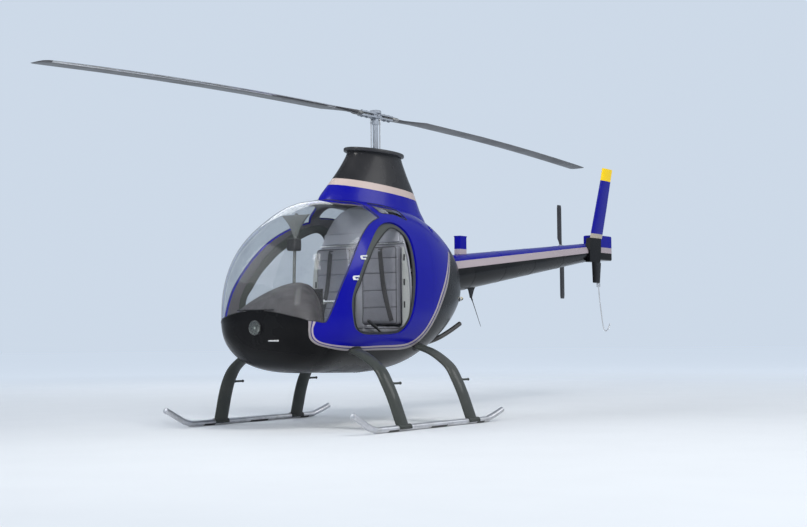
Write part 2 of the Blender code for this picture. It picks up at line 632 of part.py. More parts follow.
def ellipse_ring(half_width, half_length, middle, z):
    angles = [2 * math.pi * k / FAIRING_SIDES for k in range(FAIRING_SIDES)]
    return [(half_width * math.cos(a), middle + half_length * math.sin(a), z) for a in angles]


def make_fairing():
    """The mast fairing stands on the roof, open underneath, with a cap that the mast passes through."""
    fairing = loft("mast_fairing", [ellipse_ring(w, l, m, z) for z, w, l, m in FAIRING_RINGS])
    hollow = [[z, w - FAIRING_WALL, l - FAIRING_WALL, m] for z, w, l, m in FAIRING_RINGS]
    hollow[0][0] -= FAIRING_OPEN
    hollow[-1][0] += FAIRING_OPEN
    cut(fairing, loft("hollow", [ellipse_ring(w, l, m, z) for z, w, l, m in hollow]))
    cut(fairing, body_solid("roof", SKIN_GAP))
    top_z, top_width, top_length, top_middle = FAIRING_RINGS[-1]
    rings = [ellipse_ring(top_width + lip, top_length + lip, top_middle, top_z + height)
             for height, lip in CAP_RINGS]
    cap = loft("mast_fairing_cap", rings)
    cut(cap, cylinder("bore", *((0, 0, z) for z in CAP_BORE_Z), CAP_BORE, DISC_SIDES))
    low, high = MAST_BASE_Z
    base = cylinder("mast_base", (0, 0, low), (0, 0, high), MAST_BASE_RADII[0], SHAFT_SIDES,
                    end_radius=MAST_BASE_RADII[1])
    cut(base, body_solid("roof", SKIN_GAP))


def fit_in_cabin(obj, clearance=CABIN_CLEARANCE):
    return common(obj, body_solid("cabin space", -WALL - clearance))


def make_console():
    """The console under the windshield, with the instrument panel on its rear face."""
    rings = []
    for y, half_width, low, high in CONSOLE_SECTIONS:
        angles = [math.pi * k / CONSOLE_ARCH_STEPS for k in range(CONSOLE_ARCH_STEPS + 1)]
        rise = 1 - CONSOLE_SHOULDER
        arch = [(half_width * math.cos(a), y, low + (high - low) * (CONSOLE_SHOULDER + rise * math.sin(a)))
                for a in angles]
        rings.append([(half_width, y, low)] + arch + [(-half_width, y, low)])
    console = fit_in_cabin(loft("instrument_console", rings))
    last_y, last_width, last_low, last_high = CONSOLE_SECTIONS[-1]
    side, below, above = PANEL_MARGINS
    half = last_width - side
    box("instrument_panel", (-half, last_y + GAP, last_low + below),
        (half, last_y + PANEL_THICKNESS, last_high - above), SMALL_BEVEL)
    return console


def make_compass_post(console):
    post = tube("compass_post", POST_LINE, POST_HALF_SIZES, ROD_SIDES, up=(0, 1, 0))
    bracket = loft("bracket", [[(x, y, z) for x, z in POST_BRACKET_LINE] for y in POST_BRACKET_Y])
    join(post, bracket)
    join(post, box("compass", *COMPASS_BOX))
    cut(post, console, keep_other=True)


def make_controls():
    """The cyclic control with its two grips, and the two collective levers."""
    cyclic = tube("cyclic_control", CYCLIC_LINE, (CYCLIC_RADIUS, CYCLIC_RADIUS), ROD_SIDES, up=(1, 0, 0))
    join(cyclic, cylinder("bar", *CYCLIC_BAR, ROD_SIDES))
    low, high, radius = CYCLIC_GRIP
    for sign in SIDES.values():
        x = sign * CYCLIC_GRIP_X
        join(cyclic, cylinder("grip", (x, *low), (x, *high), radius, LEVER_SIDES))
    cut(cyclic, box("under", *UNDER_FLOOR))
    pivot_y, pivot_z = COLLECTIVE_LINE[0]
    for side, (seat_x, x) in COLLECTIVE_X.items():
        line = [(x, y, z) for y, z in COLLECTIVE_LINE]
        lever = tube(f"collective_lever_{side}", line, (COLLECTIVE_RADIUS, COLLECTIVE_RADIUS), ROD_SIDES,
                     up=(1, 0, 0))
        ends = ((seat_x + GAP, pivot_y, pivot_z), (x, pivot_y, pivot_z))
        join(lever, cylinder("pivot", *ends, COLLECTIVE_PIVOT_RADIUS, LEVER_SIDES))


def make_cabin_inside():
    """Floor, bulkhead, seats, console, panel, compass post and the hand controls."""
    edge_x = BODY_SECTIONS[6][1]
    floor = box("cabin_floor", (-edge_x, FLOOR_Y[0], FLOOR_TOP - FLOOR_THICKNESS),
                (edge_x, FLOOR_Y[1], FLOOR_TOP))
    fit_in_cabin(floor, FLOOR_CLEARANCE)
    bulkhead = box("seat_bulkhead", (-edge_x, BULKHEAD_Y[0], STAND_Z), (edge_x, BULKHEAD_Y[1], TOP_Z))
    fit_in_cabin(bulkhead)
    for side, sign in SIDES.items():
        low_x, high_x = one_side(sign, *SEAT_X)
        for name, front, low_z, high_z, bevel in SEAT_PARTS:
            piece = box(f"{name}_{side}", (low_x, front, low_z), (high_x, BACK_Y, high_z), bevel)
            fit_in_cabin(piece)
    make_compass_post(make_console())
    make_controls()


def make_engine():
    """Engine block behind the bulkhead, its fan behind it, its muffler and tail pipe underneath."""
    front = BULKHEAD_Y[1] + GAP
    low_z, high_z = ENGINE_Z
    engine = box("engine_block", (-ENGINE_HALF_WIDTH, front, low_z),
                 (ENGINE_HALF_WIDTH, ENGINE_REAR_Y, high_z), ENGINE_BEVEL)
    fit_in_cabin(engine)
    discs = []
    for start, end, radius, sides in FAN_DISCS:
        ends = [(0, ENGINE_REAR_Y + y, FAN_Z) for y in (start, end)]
        discs.append(cylinder("cooling_fan", *ends, radius, sides))
    fit_in_cabin(join(*discs))
    exhaust = cylinder("exhaust", *MUFFLER_ENDS, MUFFLER_RADIUS, MUFFLER_SIDES)
    join(exhaust, tail_pipe("pipe", EXHAUST_RADIUS))


def tail_pipe(name, radius):
    path = smooth_points(EXHAUST_LINE, 3, closed=False)
    return tube(name, path, (radius, radius), LEVER_SIDES, up=(1, 0, 0))


def boom_solid(name, grow):
    rings = []
    for y, z, radius in (BOOM_FRONT, BOOM_REAR):
        angles = [2 * math.pi * (k + 0.5) / BOOM_SIDES for k in range(BOOM_SIDES)]
        far = grow if y == BOOM_REAR[0] else -grow
        rings.append([((radius + grow) * math.cos(a), y + far, z + (radius + grow) * math.sin(a))
                      for a in angles])
    return loft(name, rings)


def section_ring(place, half_thickness):
    """A fin's or blade's section, where place(chord share, offset) gives a point."""
    return [place(share, half_thickness * side) for share, side in FIN_SECTION]


def make_fins():
    """The fin plate on the boom, the fins above and below it, and the stabilizer."""
    plate = prism_x("fin_plate", FIN_PLATE_LINE, *FIN_PLATE_X)
    cut(plate, boom_solid("boom", GAP))
    low, high, bevel = TAIL_HOUSING
    margin = Vector((GAP, GAP, GAP))
    cut(plate, box("housing", low - margin, high + margin, bevel))
    for name, rows in FINS.items():
        rings = [section_ring(lambda share, off: (FIN_MIDDLE_X + off, front + (rear - front) * share, z),
                              FIN_HALF_THICKNESS)
                 for z, front, rear in rows]
        loft(name, rings)
    rings = [section_ring(lambda share, off: (x, front + (rear - front) * share, z + off),
                          STABILIZER_HALF_THICKNESS)
             for x, front, rear, z in STABILIZER_SECTIONS]
    stabilizer = loft("stabilizer", rings)
    cut(stabilizer, boom_solid("boom", GAP))


def make_tail():
    """Boom, what stands on it, its end housing, the tail skid and the tail gearbox."""
    boom_solid("tail_boom", 0.0)
    housing = box("boom_top_housing", (-BOOM_HOUSING_X, BOOM_HOUSING_Y[0], BOOM_FRONT[1]),
                  (BOOM_HOUSING_X, BOOM_HOUSING_Y[1], BOOM_HOUSING_TOP), BOOM_HOUSING_BEVEL)
    cut(housing, boom_solid("boom", GAP))
    aerial = prism_x("whip_antenna", WHIP_GUSSET_LINE, -WHIP_GUSSET_HALF, WHIP_GUSSET_HALF)
    cut(aerial, boom_solid("boom", GAP))
    join(aerial, cylinder("whip", *WHIP_ENDS, WHIP_RADIUS, THIN_SIDES))
    box("tail_end_housing", *TAIL_HOUSING)
    line = smooth_points(TAIL_SKID_LINE, 2, closed=False)
    skid = tube("tail_skid", [(FIN_MIDDLE_X, y, z) for y, z in line],
                (TAIL_SKID_RADIUS, TAIL_SKID_RADIUS), THIN_SIDES, up=(1, 0, 0))
    join(skid, box("clevis", (FIN_MIDDLE_X - CLEVIS_HALF, CLEVIS_Y[0], CLEVIS_Z[0]),
                   (FIN_MIDDLE_X + CLEVIS_HALF, CLEVIS_Y[1], CLEVIS_Z[1]), SMALL_BEVEL))
    start, end = ((x, TAIL_ROTOR_Y, TAIL_ROTOR_Z) for x in TAIL_GEARBOX_ENDS)
    radius, end_radius = TAIL_GEARBOX_RADII
    cylinder("tail_gearbox", start, end, radius, SHAFT_SIDES, end_radius=end_radius)


def leaning(station, z):
    return station - LEG_LEAN * min(1.0, z / LEG_LEAN_Z)


def make_landing_gear():
    """Skid tubes, and the four legs that stand on them and meet the belly, each with its peg."""
    for side, sign in SIDES.items():
        path = [(sign * SKID_X, y, SKID_Z + z) for y, z in SKID_LINE]
        tube(f"skid_{side}", path, (SKID_RADIUS, SKID_RADIUS), SKID_SIDES, up=(1, 0, 0), turn=SKID_TURN)
        for end, station in LEG_STATIONS.items():
            path = [(sign * x, leaning(station, z), z) for x, z in smooth_points(LEG_LINE, 2, closed=False)]
            leg = tube(f"{end}_leg_{side}", path, LEG_HALF_SIZES, LEVER_SIDES, up=(0, 1, 0))
            peg_x = sign * PEG_X
            peg_y = leaning(station, PEG_Z)
            join(leg, cylinder("peg", (peg_x, peg_y, PEG_Z), (peg_x, peg_y + PEG_LENGTH, PEG_Z),
                               PEG_RADIUS, THIN_SIDES))
            cut(leg, body_solid("belly", SKIN_GAP))
            grown = SKID_RADIUS + GAP
            path = [(sign * SKID_X, y, SKID_Z) for y in (station - PEG_LENGTH, station + PEG_LENGTH)]
            cut(leg, tube("skid", path, (grown, grown), SKID_SIDES, up=(1, 0, 0), turn=SKID_TURN))


def make_nose_fittings(panels):
    """Landing lamp let into the nose, the pitot tube, and the light at the pod's rear."""
    rear, front = ((0, y, LAMP_Z) for y in reversed(LAMP_HOLE_Y))
    cut(panels["nose_belly_shell"], cylinder("hole", rear, front, LAMP_RADIUS + GAP, DISC_SIDES))
    rear, rim, lens = ((0, y, LAMP_Z) for y in LAMP_Y)
    lamp = cylinder("landing_lamp", rear, rim, LAMP_RADIUS, DISC_SIDES)
    join(lamp, cylinder("lens", rim, lens, LAMP_RADIUS, DISC_SIDES,
                        end_radius=LAMP_RADIUS * LAMP_LENS_SHARE))
    pitot = cylinder("pitot_tube", *PITOT_ENDS, PITOT_RADIUS, ROD_SIDES)
    cut(pitot, body_solid("nose", SKIN_GAP))
    light = cylinder("tail_light", *TAIL_LIGHT_ENDS, TAIL_LIGHT_RADII[0], LEVER_SIDES,
                     end_radius=TAIL_LIGHT_RADII[1])
    cut(light, body_solid("pod", SKIN_GAP))


def open_cowls(panels):
    """The boom's hole, the tail pipe's hole and the cooling air's opening."""
    cut(panels["cowl_lower"], boom_solid("boom", GAP))
    cut(panels["cowl_upper"], boom_solid("boom", GAP))
    cut(panels["cowl_lower"], tail_pipe("pipe", EXHAUST_RADIUS + EXHAUST_HOLE))
    cut(panels["cowl_lower"], box("air", *AIR_OPENING))


def make_main_rotor():
    """Mast, pitch control, hub and two blades, turning about the mast's axis."""
    half_x, half_y, half_z = HUB_HALF_SIZES
    mast_top = HUB_Z - half_z - GAP
    cylinder("main_mast", (0, 0, MAST_BASE_Z[1] + GAP), (0, 0, mast_top), MAST_RADIUS, SHAFT_SIDES)
    control = cylinder("pitch_control", *((0, 0, z) for z in SWASH_Z), SWASH_RADIUS, DISC_SIDES)
    cut(control, cylinder("bore", *((0, 0, z) for z in SWASH_BORE_Z), MAST_RADIUS + GAP, SHAFT_SIDES))
    for sign in SIDES.values():
        x, y = (sign * place for place in LINK_PLACE)
        join(control, cylinder("link", (x, y, sum(SWASH_Z) / 2), (x, y, mast_top), LINK_RADIUS, THIN_SIDES))
    hub = box("rotor_hub", (-half_x, -half_y, HUB_Z - half_z), (half_x, half_y, HUB_Z + half_z), HUB_BEVEL)
    join(hub, cylinder("cap", (0, 0, HUB_Z), (0, 0, HUB_TOP), HUB_CAP_RADIUS, SHAFT_SIDES))
    for name, sign in (("main_blade_1", -1), ("main_blade_2", 1)):
        rings = []
        for distance, lead, trail, half_thickness in BLADE_SECTIONS:
            share = max(0.0, (distance - half_y) / (ROTOR_RADIUS - half_y))
            z = HUB_Z - BLADE_DROOP * share ** 2
            rings.append(section_ring(
                lambda chord, off: (-sign * (lead - (lead + trail) * chord), sign * distance, z + off),
                half_thickness))
        loft(name, rings)


def make_tail_rotor():
    """Shaft, hub and two blades, turning about an axis across the machine."""
    x, y, z = TAIL_ROTOR_X, TAIL_ROTOR_Y, TAIL_ROTOR_Z
    half_x = TAIL_YOKE_HALF_SIZES[0]
    start = (TAIL_GEARBOX_ENDS[1] - GAP, y, z)
    end = (x - half_x - TAIL_SHAFT_END, y, z)
    hub = cylinder("tail_rotor_hub", start, end, TAIL_SHAFT_RADIUS, LEVER_SIDES)
    middle = Vector((x, y, z))
    half_sizes = Vector(TAIL_YOKE_HALF_SIZES)
    join(hub, box("yoke", middle - half_sizes, middle + half_sizes, SMALL_BEVEL))
    for name, sign in (("tail_blade_1", 1), ("tail_blade_2", -1)):
        rings = []
        for distance, lead, trail, half_thickness in TAIL_BLADE_SECTIONS:
            chord_width = lead + trail
            rings.append(section_ring(
                lambda chord, off: (x + off, y + sign * (lead - chord_width * chord), z + sign * distance),
                half_thickness))
        loft(name, rings)


def finish(materials):
    """Gives each piece its material, shades it and hangs it on its empty."""
    airframe = make_empty("airframe", (0, MAST_Y, 0))
    places = {"main_rotor": Vector((0, 0, HUB_Z)),
              "tail_rotor": Vector((TAIL_ROTOR_X, TAIL_ROTOR_Y, TAIL_ROTOR_Z))}
    axes = {name: make_empty(f"{name}_axis", place, airframe) for name, place in places.items()}
    axes["airframe"] = airframe
    for body, slots in PIECES.items():
        offset = places.get(body, Vector((0, 0, 0)))
        for slot, names in slots.items():
            for name in names:
                obj = bpy.data.objects[name]
                obj.data.materials.clear()
                obj.data.materials.append(materials[slot])
                obj.data.shade_smooth()
                obj.data.set_sharp_from_angle(angle=math.radians(32))
                obj.parent = axes[body]
                obj.location = -offset


def main():
    clear_scene()
    materials = make_materials()
    panels = make_cabin_panels()
    make_fairing()
    make_cabin_inside()
    make_engine()
    make_tail()
    make_fins()
    make_landing_gear()
    make_nose_fittings(panels)
    open_cowls(panels)
    make_main_rotor()
    make_tail_rotor()
    finish(materials)


main()
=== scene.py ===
"""The looks of a light two-seat helicopter, built around the fixed frame of its solids.

Metres, +Z up, nose towards -Y, the aircraft's port side towards +X. Pieces are made in stations,
a station being a distance aft of the rotor mast, and moved into the frame when they are finished.
"""

import json
import math

import bmesh
import bpy
import numpy as np
from mathutils import Matrix, Vector
from mathutils.bvhtree import BVHTree
from mathutils.interpolate import poly_3d_calc


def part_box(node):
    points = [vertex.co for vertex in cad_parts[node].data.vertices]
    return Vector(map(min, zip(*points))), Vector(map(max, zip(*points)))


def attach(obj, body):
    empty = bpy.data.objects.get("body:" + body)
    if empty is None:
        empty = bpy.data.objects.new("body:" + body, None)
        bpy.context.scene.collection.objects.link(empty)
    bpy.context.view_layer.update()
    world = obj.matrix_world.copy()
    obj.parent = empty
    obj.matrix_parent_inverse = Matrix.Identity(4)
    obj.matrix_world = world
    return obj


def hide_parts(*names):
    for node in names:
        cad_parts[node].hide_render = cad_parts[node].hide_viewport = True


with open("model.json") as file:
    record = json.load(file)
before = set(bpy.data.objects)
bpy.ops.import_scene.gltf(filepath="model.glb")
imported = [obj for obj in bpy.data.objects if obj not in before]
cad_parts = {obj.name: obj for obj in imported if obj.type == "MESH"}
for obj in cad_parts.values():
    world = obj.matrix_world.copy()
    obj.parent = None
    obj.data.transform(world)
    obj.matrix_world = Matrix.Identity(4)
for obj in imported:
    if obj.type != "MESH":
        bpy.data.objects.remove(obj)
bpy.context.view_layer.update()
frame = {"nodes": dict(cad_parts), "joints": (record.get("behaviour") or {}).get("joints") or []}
PORT, AFT, UP = Vector((1, 0, 0)), Vector((0, 1, 0)), Vector((0, 0, 1))
JOINTS = {joint["name"]: Vector(joint["pos_m"]) for joint in frame["joints"]}
MAST_Y = JOINTS["main_rotor_spin"].y
HUB_Z = JOINTS["main_rotor_spin"].z
INTO_FRAME = AFT * MAST_Y
TAIL_HUB = JOINTS["tail_rotor_spin"] - INTO_FRAME
SIDES = {"port": 1, "starboard": -1}

# The photo's camera: size in pixels, focal length in pixels, place by station, angles in degrees
PHOTO_WIDTH = 807
FOCAL_PIXELS = 1418.7
CAMERA_PLACE = Vector((7.173, -10.228, 0.738))
CAMERA_YAW, CAMERA_PITCH, CAMERA_ROLL = 33.95, 2.94, -0.5
SENSOR_WIDTH = 36.0

# The fuselage's sections: station, half width, lowest z, z of the widest line, highest z
BODY_SECTIONS = (
    (-1.670, 0.000, 0.890, 0.890, 0.890),
    (-1.655, 0.232, 0.794, 0.890, 1.041),
    (-1.615, 0.364, 0.667, 0.890, 1.215),
    (-1.540, 0.457, 0.575, 0.900, 1.428),
    (-1.420, 0.536, 0.495, 0.910, 1.595),
    (-1.240, 0.578, 0.453, 0.930, 1.727),
    (-1.000, 0.585, 0.446, 0.950, 1.850),
    (-0.700, 0.570, 0.438, 0.980, 1.894),
    (-0.350, 0.546, 0.436, 1.000, 1.908),
    (0.000, 0.516, 0.480, 1.020, 1.899),
    (0.300, 0.479, 0.578, 1.060, 1.857),
    (0.600, 0.413, 0.712, 1.110, 1.761),
    (0.850, 0.331, 0.871, 1.170, 1.612),
    (1.020, 0.235, 1.019, 1.210, 1.464),
    (1.093, 0.131, 1.147, 1.235, 1.367),
    (1.113, 0.000, 1.235, 1.235, 1.235),
)
BODY_STEPS = 6
BODY_SIDES = 96
LOWER_POWER = 2.6
UPPER_POWER = 2.4
WALL = 0.018
RIVET_INSET = 0.014         # from a panel's edge to its row of rivets
FIT_GAP = 0.0004            # between the pod and what is fitted to it
SEAM = 0.0012               # the gap between two panels

# Panel lines in the side view, as (station, z)
SILL_LINE = ((-1.800, 0.960), (-1.6685, 0.956), (-1.664, 0.946), (-1.654, 0.926), (-1.631, 0.905),
             (-1.594, 0.886), (-1.554, 0.866))
CORNER_LINE = ((-1.506, 0.860), (-1.464, 0.850), (-1.435, 0.856))
PILLAR_LINE = ((-1.405, 0.909), (-1.344, 1.026), (-1.285, 1.129), (-1.212, 1.225), (-1.110, 1.348),
               (-1.005, 1.458), (-0.906, 1.545), (-0.781, 1.627), (-0.660, 1.684), (-0.530, 1.726),
               (-0.490, 1.738), (-0.520, 1.775), (-0.545, 1.825), (-0.575, 1.853), (-0.640, 1.868),
               (-0.800, 1.880), (-0.810, 2.050))
STRIPE_FRONT_LINE = ((-1.549, 0.793), (-1.533, 0.739), (-1.502, 0.701), (-1.438, 0.669), (-1.288, 0.640),
                     (-1.098, 0.627), (-0.652, 0.627), (-0.321, 0.628), (-0.160, 0.647), (-0.043, 0.689),
                     (0.068, 0.761))
STRIPE_REAR_LINE = ((0.148, 0.835), (0.246, 0.940), (0.328, 1.029), (0.413, 1.119), (0.487, 1.210),
                    (0.552, 1.311), (0.608, 1.404), (0.671, 1.481), (0.735, 1.530), (0.850, 1.560),
                    (1.400, 1.560))
STRIPE_INNER_LINE = ((-1.505, 0.858), (-1.505, 0.847), (-1.519, 0.809), (-1.507, 0.755), (-1.472, 0.716),
                     (-1.403, 0.692), (-1.256, 0.675), (-0.988, 0.664), (-0.686, 0.669), (-0.364, 0.674),
                     (-0.201, 0.694), (-0.085, 0.740), (0.017, 0.808), (0.106, 0.895), (0.200, 0.991),
                     (0.283, 1.098), (0.362, 1.188), (0.457, 1.307), (0.549, 1.420), (0.631, 1.506))
COWL_SEAM_LINE = ((0.137, 1.008), (0.165, 1.200), (0.180, 1.380), (0.190, 1.560), (0.195, 2.050))
DOORWAY_LINE = ((-1.172, 1.000), (-1.136, 1.108), (-1.055, 1.220), (-0.959, 1.338), (-0.856, 1.457),
                (-0.672, 1.600), (-0.520, 1.675), (-0.351, 1.706), (-0.219, 1.680), (-0.132, 1.597),
                (-0.117, 1.458), (-0.136, 1.217), (-0.188, 1.003), (-0.258, 0.875), (-0.373, 0.783),
                (-0.520, 0.756), (-0.815, 0.751), (-0.985, 0.757), (-1.111, 0.800), (-1.155, 0.875))
JAMB_LINE = ((-1.120, 0.960), (-1.100, 1.070), (-1.022, 1.166), (-0.944, 1.272), (-0.827, 1.391),
             (-0.729, 1.478), (-0.546, 1.589), (-0.361, 1.665), (-0.225, 1.630), (-0.162, 1.540),
             (-0.167, 1.380), (-0.195, 1.150), (-0.232, 0.985), (-0.290, 0.865), (-0.396, 0.795),
             (-0.560, 0.770), (-0.960, 0.770), (-1.070, 0.805), (-1.112, 0.880))
JAMB_OVERLAP = 0.022
JAMB_DEPTHS = (-WALL - 0.0005, -WALL - 0.0065)
# A roof window in the plan view, as (x, station)
ROOF_WINDOW_LINE = ((0.205, -0.425), (0.300, -0.428), (0.334, -0.400), (0.330, -0.300), (0.326, -0.200),
                    (0.338, -0.110), (0.346, -0.030), (0.310, -0.030), (0.255, -0.060), (0.215, -0.180),
                    (0.200, -0.320))
ROOF_Z = (1.55, 2.05)
LOW_Z = 0.300
FRONT_Y = -1.900
GLASS_DEPTHS = (-0.001, -0.006)
SEAL_RADIUS = 0.004
AIR_OPENING = ((-0.170, 0.440, 0.500), (0.150, 0.760, 0.900))

# The mast fairing's rings: z, half width, half length, station of its middle
FAIRING_RINGS = (
    (1.700, 0.235, 0.828, -0.060), (1.800, 0.205, 0.784, -0.070), (1.870, 0.187, 0.736, -0.080),
    (1.930, 0.174, 0.700, -0.078), (2.050, 0.155, 0.598, -0.050), (2.180, 0.140, 0.482, -0.030),
    (2.300, 0.130, 0.390, -0.018), (2.335, 0.130, 0.375, -0.020),
)
# Below the first ring the skirt goes on into the cowl, so that its aft end leaves no gap
FAIRING_FOOT = (1.640, 0.253, 0.854, -0.054)
FAIRING_SIDES = 96
FAIRING_WALL = 0.010

BOOM_FRONT = (0.800, 1.281, 0.190)      # station, z and radius of the boom's ends
BOOM_REAR = (4.200, 1.672, 0.098)
BOOM_SIDES = 64

LEG_LINE = ((0.300, 0.665), (0.440, 0.645), (0.560, 0.608), (0.660, 0.552), (0.755, 0.475),
            (0.816, 0.375), (0.869, 0.250), (0.911, 0.120), (0.940, 0.030))
LEG_STATIONS = {"front": -0.995, "rear": 0.042}
LEG_LEAN = 0.040
LEG_LEAN_Z = 0.370
LEG_HALF_SIZES = (0.026, 0.080)
PEG_PLACE = (0.818, 0.367)
PEG_LENGTH = 0.190
SKID_X = 0.944
SKID_Z = 0.0251
SKID_TUBE = 0.0242
SHOE_RADIUS = 0.0251
SKID_LINE = ((-1.670, 0.125), (-1.600, 0.093), (-1.520, 0.055), (-1.450, 0.023), (-1.380, 0.005),
             (-1.300, 0.000), (-0.540, 0.000), (0.220, 0.000), (0.300, 0.006), (0.370, 0.021),
             (0.450, 0.043), (0.536, 0.069))

# The sewn channels: their heights on a seat back, from the photo, and their stations on a cushion
BACK_CHANNELS = (1.405, 1.277, 1.129, 0.985)
CUSHION_CHANNELS = (-0.640, -0.480)

FIN_X = 0.111
FIN_HALF_THICKNESS = 0.013
# Each fin by name, as rows of (z, leading edge, trailing edge)
FINS = {
    "upper_fin": ((1.8153, 3.976, 4.272), (2.150, 4.120, 4.400), (2.4797, 4.262, 4.516)),
    "upper_fin_tip": ((2.480, 4.2622, 4.5162), (2.625, 4.308, 4.566)),
    "lower_fin": ((1.315, 4.033, 4.208), (1.5447, 4.016, 4.242)),
}
STABILIZER_SECTIONS = ((-0.090, 3.260, 3.600, 1.590), (-0.800, 3.330, 3.600, 1.600))
STABILIZER_HALF_THICKNESS = 0.016
TAIL_SKID_LINE = ((4.165, 1.290), (4.200, 1.100), (4.240, 0.940), (4.268, 0.846), (4.298, 0.797),
                  (4.342, 0.779), (4.400, 0.805), (4.448, 0.858))
TAIL_SKID_RADIUS = 0.0065

# A main blade's sections: distance from the mast, leading and trailing edge from the pitch axis,
# half thickness
BLADE_SECTIONS = ((0.2403, 0.040, 0.040, 0.018), (0.330, 0.041, 0.043, 0.016), (0.420, 0.042, 0.046, 0.014),
                  (0.520, 0.044, 0.092, 0.0125), (0.620, 0.046, 0.137, 0.011), (1.600, 0.046, 0.137, 0.011),
                  (2.700, 0.046, 0.137, 0.011), (3.600, 0.046, 0.137, 0.010), (3.800, 0.044, 0.134, 0.008),
                  (3.835, 0.034, 0.118, 0.004))
BLADE_DROOP = 0.110
BLADE_ROOT = 0.240
TAIL_BLADE_SECTIONS = ((0.0803, 0.022, 0.030, 0.010), (0.115, 0.024, 0.050, 0.009),
                       (0.150, 0.026, 0.079, 0.007), (0.500, 0.026, 0.079, 0.0055),
                       (0.535, 0.020, 0.070, 0.003))

SMOOTH_ANGLE = math.radians(35)


# Shader nodes

def node(tree, kind, values=(), **settings):
    """A new node, its inputs set to values or linked to the sockets given for them."""
    made = tree.nodes.new(kind)
    for key, value in settings.items():
        setattr(made, key, value)
    fill(tree, made, values)
    return made


def fill(tree, target, values):
    for key, value in dict(values).items():
        if isinstance(value, bpy.types.NodeSocket):
            tree.links.new(value, target.inputs[key])
        else:
            target.inputs[key].default_value = value


def math_node(tree, operation, *values):
    return node(tree, "ShaderNodeMath", dict(enumerate(values)), operation=operation).outputs[0]


def mix_colour(tree, factor, one, two):
    return node(tree, "ShaderNodeMix", {0: factor, 6: one, 7: two}, data_type="RGBA").outputs[2]


def object_place(tree):
    return node(tree, "ShaderNodeTexCoord").outputs["Object"]


def noise(tree, place, scale, detail=3.0, roughness=0.5):
    return node(tree, "ShaderNodeTexNoise", {"Vector": place, "Scale": scale, "Detail": detail,
                                             "Roughness": roughness}).outputs["Fac"]


def map_range(tree, value, low, high, new_low, new_high, **settings):
    return node(tree, "ShaderNodeMapRange", {"Value": value, "From Min": low, "From Max": high,
                                             "To Min": new_low, "To Max": new_high},
                **settings).outputs["Result"]


def new_group(name, colours, numbers, results=("Roughness", "Height")):
    """An empty shader group that puts out a colour and some numbers: its tree, inner inputs and end."""
    tree = bpy.data.node_groups.new(name, "ShaderNodeTree")
    for way, sockets, kind in (("INPUT", colours, "Color"), ("INPUT", numbers, "Float"),
                               ("OUTPUT", ("Colour",), "Color"), ("OUTPUT", results, "Float")):
        for socket in sockets:
            tree.interface.new_socket(socket, in_out=way, socket_type=f"NodeSocket{kind}")
    return tree, node(tree, "NodeGroupInput").outputs, node(tree, "NodeGroupOutput")


def make_paint_skin():
    """Sprayed paint: large dull patches, dust on what faces up, fine scratches, and a ripple."""
    tree, given, end = new_group("paint_skin", ("Base", "Worn"), ("Wear", "Gloss", "Matt"))
    place = object_place(tree)
    patches = map_range(tree, noise(tree, place, 2.3, 5.0, 0.6), 0.42, 0.72, 0.0, 1.0)
    specks = map_range(tree, noise(tree, place, 90.0, 2.0), 0.62, 0.80, 0.0, 1.0)
    normal = node(tree, "ShaderNodeNewGeometry").outputs["Normal"]
    facing_up = node(tree, "ShaderNodeSeparateXYZ", {0: normal}).outputs["Z"]
    dust = math_node(tree, "MULTIPLY", map_range(tree, facing_up, 0.2, 1.0, 0.0, 1.0), patches)
    worn = math_node(tree, "ADD", patches, math_node(tree, "ADD", specks, dust))
    worn = math_node(tree, "MINIMUM", math_node(tree, "MULTIPLY", worn, given["Wear"]), 1.0)
    fill(tree, end, {"Colour": mix_colour(tree, worn, given["Base"], given["Worn"]),
                     "Roughness": map_range(tree, patches, 0.0, 1.0, given["Gloss"], given["Matt"]),
                     "Height": noise(tree, place, 260.0, 1.0)})
    return tree


def make_pebble_grain():
    """Grained vinyl and moulded plastic: small cells, a soft mottle in the colour, and in the shine."""
    tree, given, end = new_group("pebble_grain", ("Base", "Deep"), ("Cell Scale", "Gloss", "Matt"))
    place = object_place(tree)
    cells = node(tree, "ShaderNodeTexVoronoi", {"Vector": place, "Scale": given["Cell Scale"]},
                 feature="F1").outputs["Distance"]
    mottle = map_range(tree, noise(tree, place, 14.0, 4.0), 0.35, 0.70, 0.0, 1.0)
    valley = map_range(tree, cells, 0.35, 0.75, 0.0, 0.8)
    share = math_node(tree, "MAXIMUM", math_node(tree, "MULTIPLY", mottle, 0.55), valley)
    fill(tree, end, {"Colour": mix_colour(tree, share, given["Base"], given["Deep"]),
                     "Roughness": map_range(tree, mottle, 0.0, 1.0, given["Gloss"], given["Matt"]),
                     "Height": math_node(tree, "SUBTRACT", 1.0, cells)})
    return tree


def make_weave():
    """Woven cloth, from threads that run across each other along the piece's own directions."""
    tree, given, end = new_group("weave", ("Thread", "Gap"), ("Thread Scale",), ("Height",))
    place = object_place(tree)
    one, two, three = (node(tree, "ShaderNodeTexWave", {"Vector": place, "Scale": given["Thread Scale"],
                                                        "Distortion": 0.6},
                            bands_direction=direction).outputs["Fac"] for direction in "XYZ")
    crossing = math_node(tree, "ADD", math_node(tree, "MULTIPLY", one, two),
                         math_node(tree, "MULTIPLY", three, 0.5))
    fluff = math_node(tree, "MULTIPLY", noise(tree, place, 40.0, 4.0), 0.7)
    share = math_node(tree, "MINIMUM", math_node(tree, "ADD", crossing, fluff), 1.0)
    fill(tree, end, {"Colour": mix_colour(tree, share, given["Gap"], given["Thread"]),
                     "Height": crossing})
    return tree


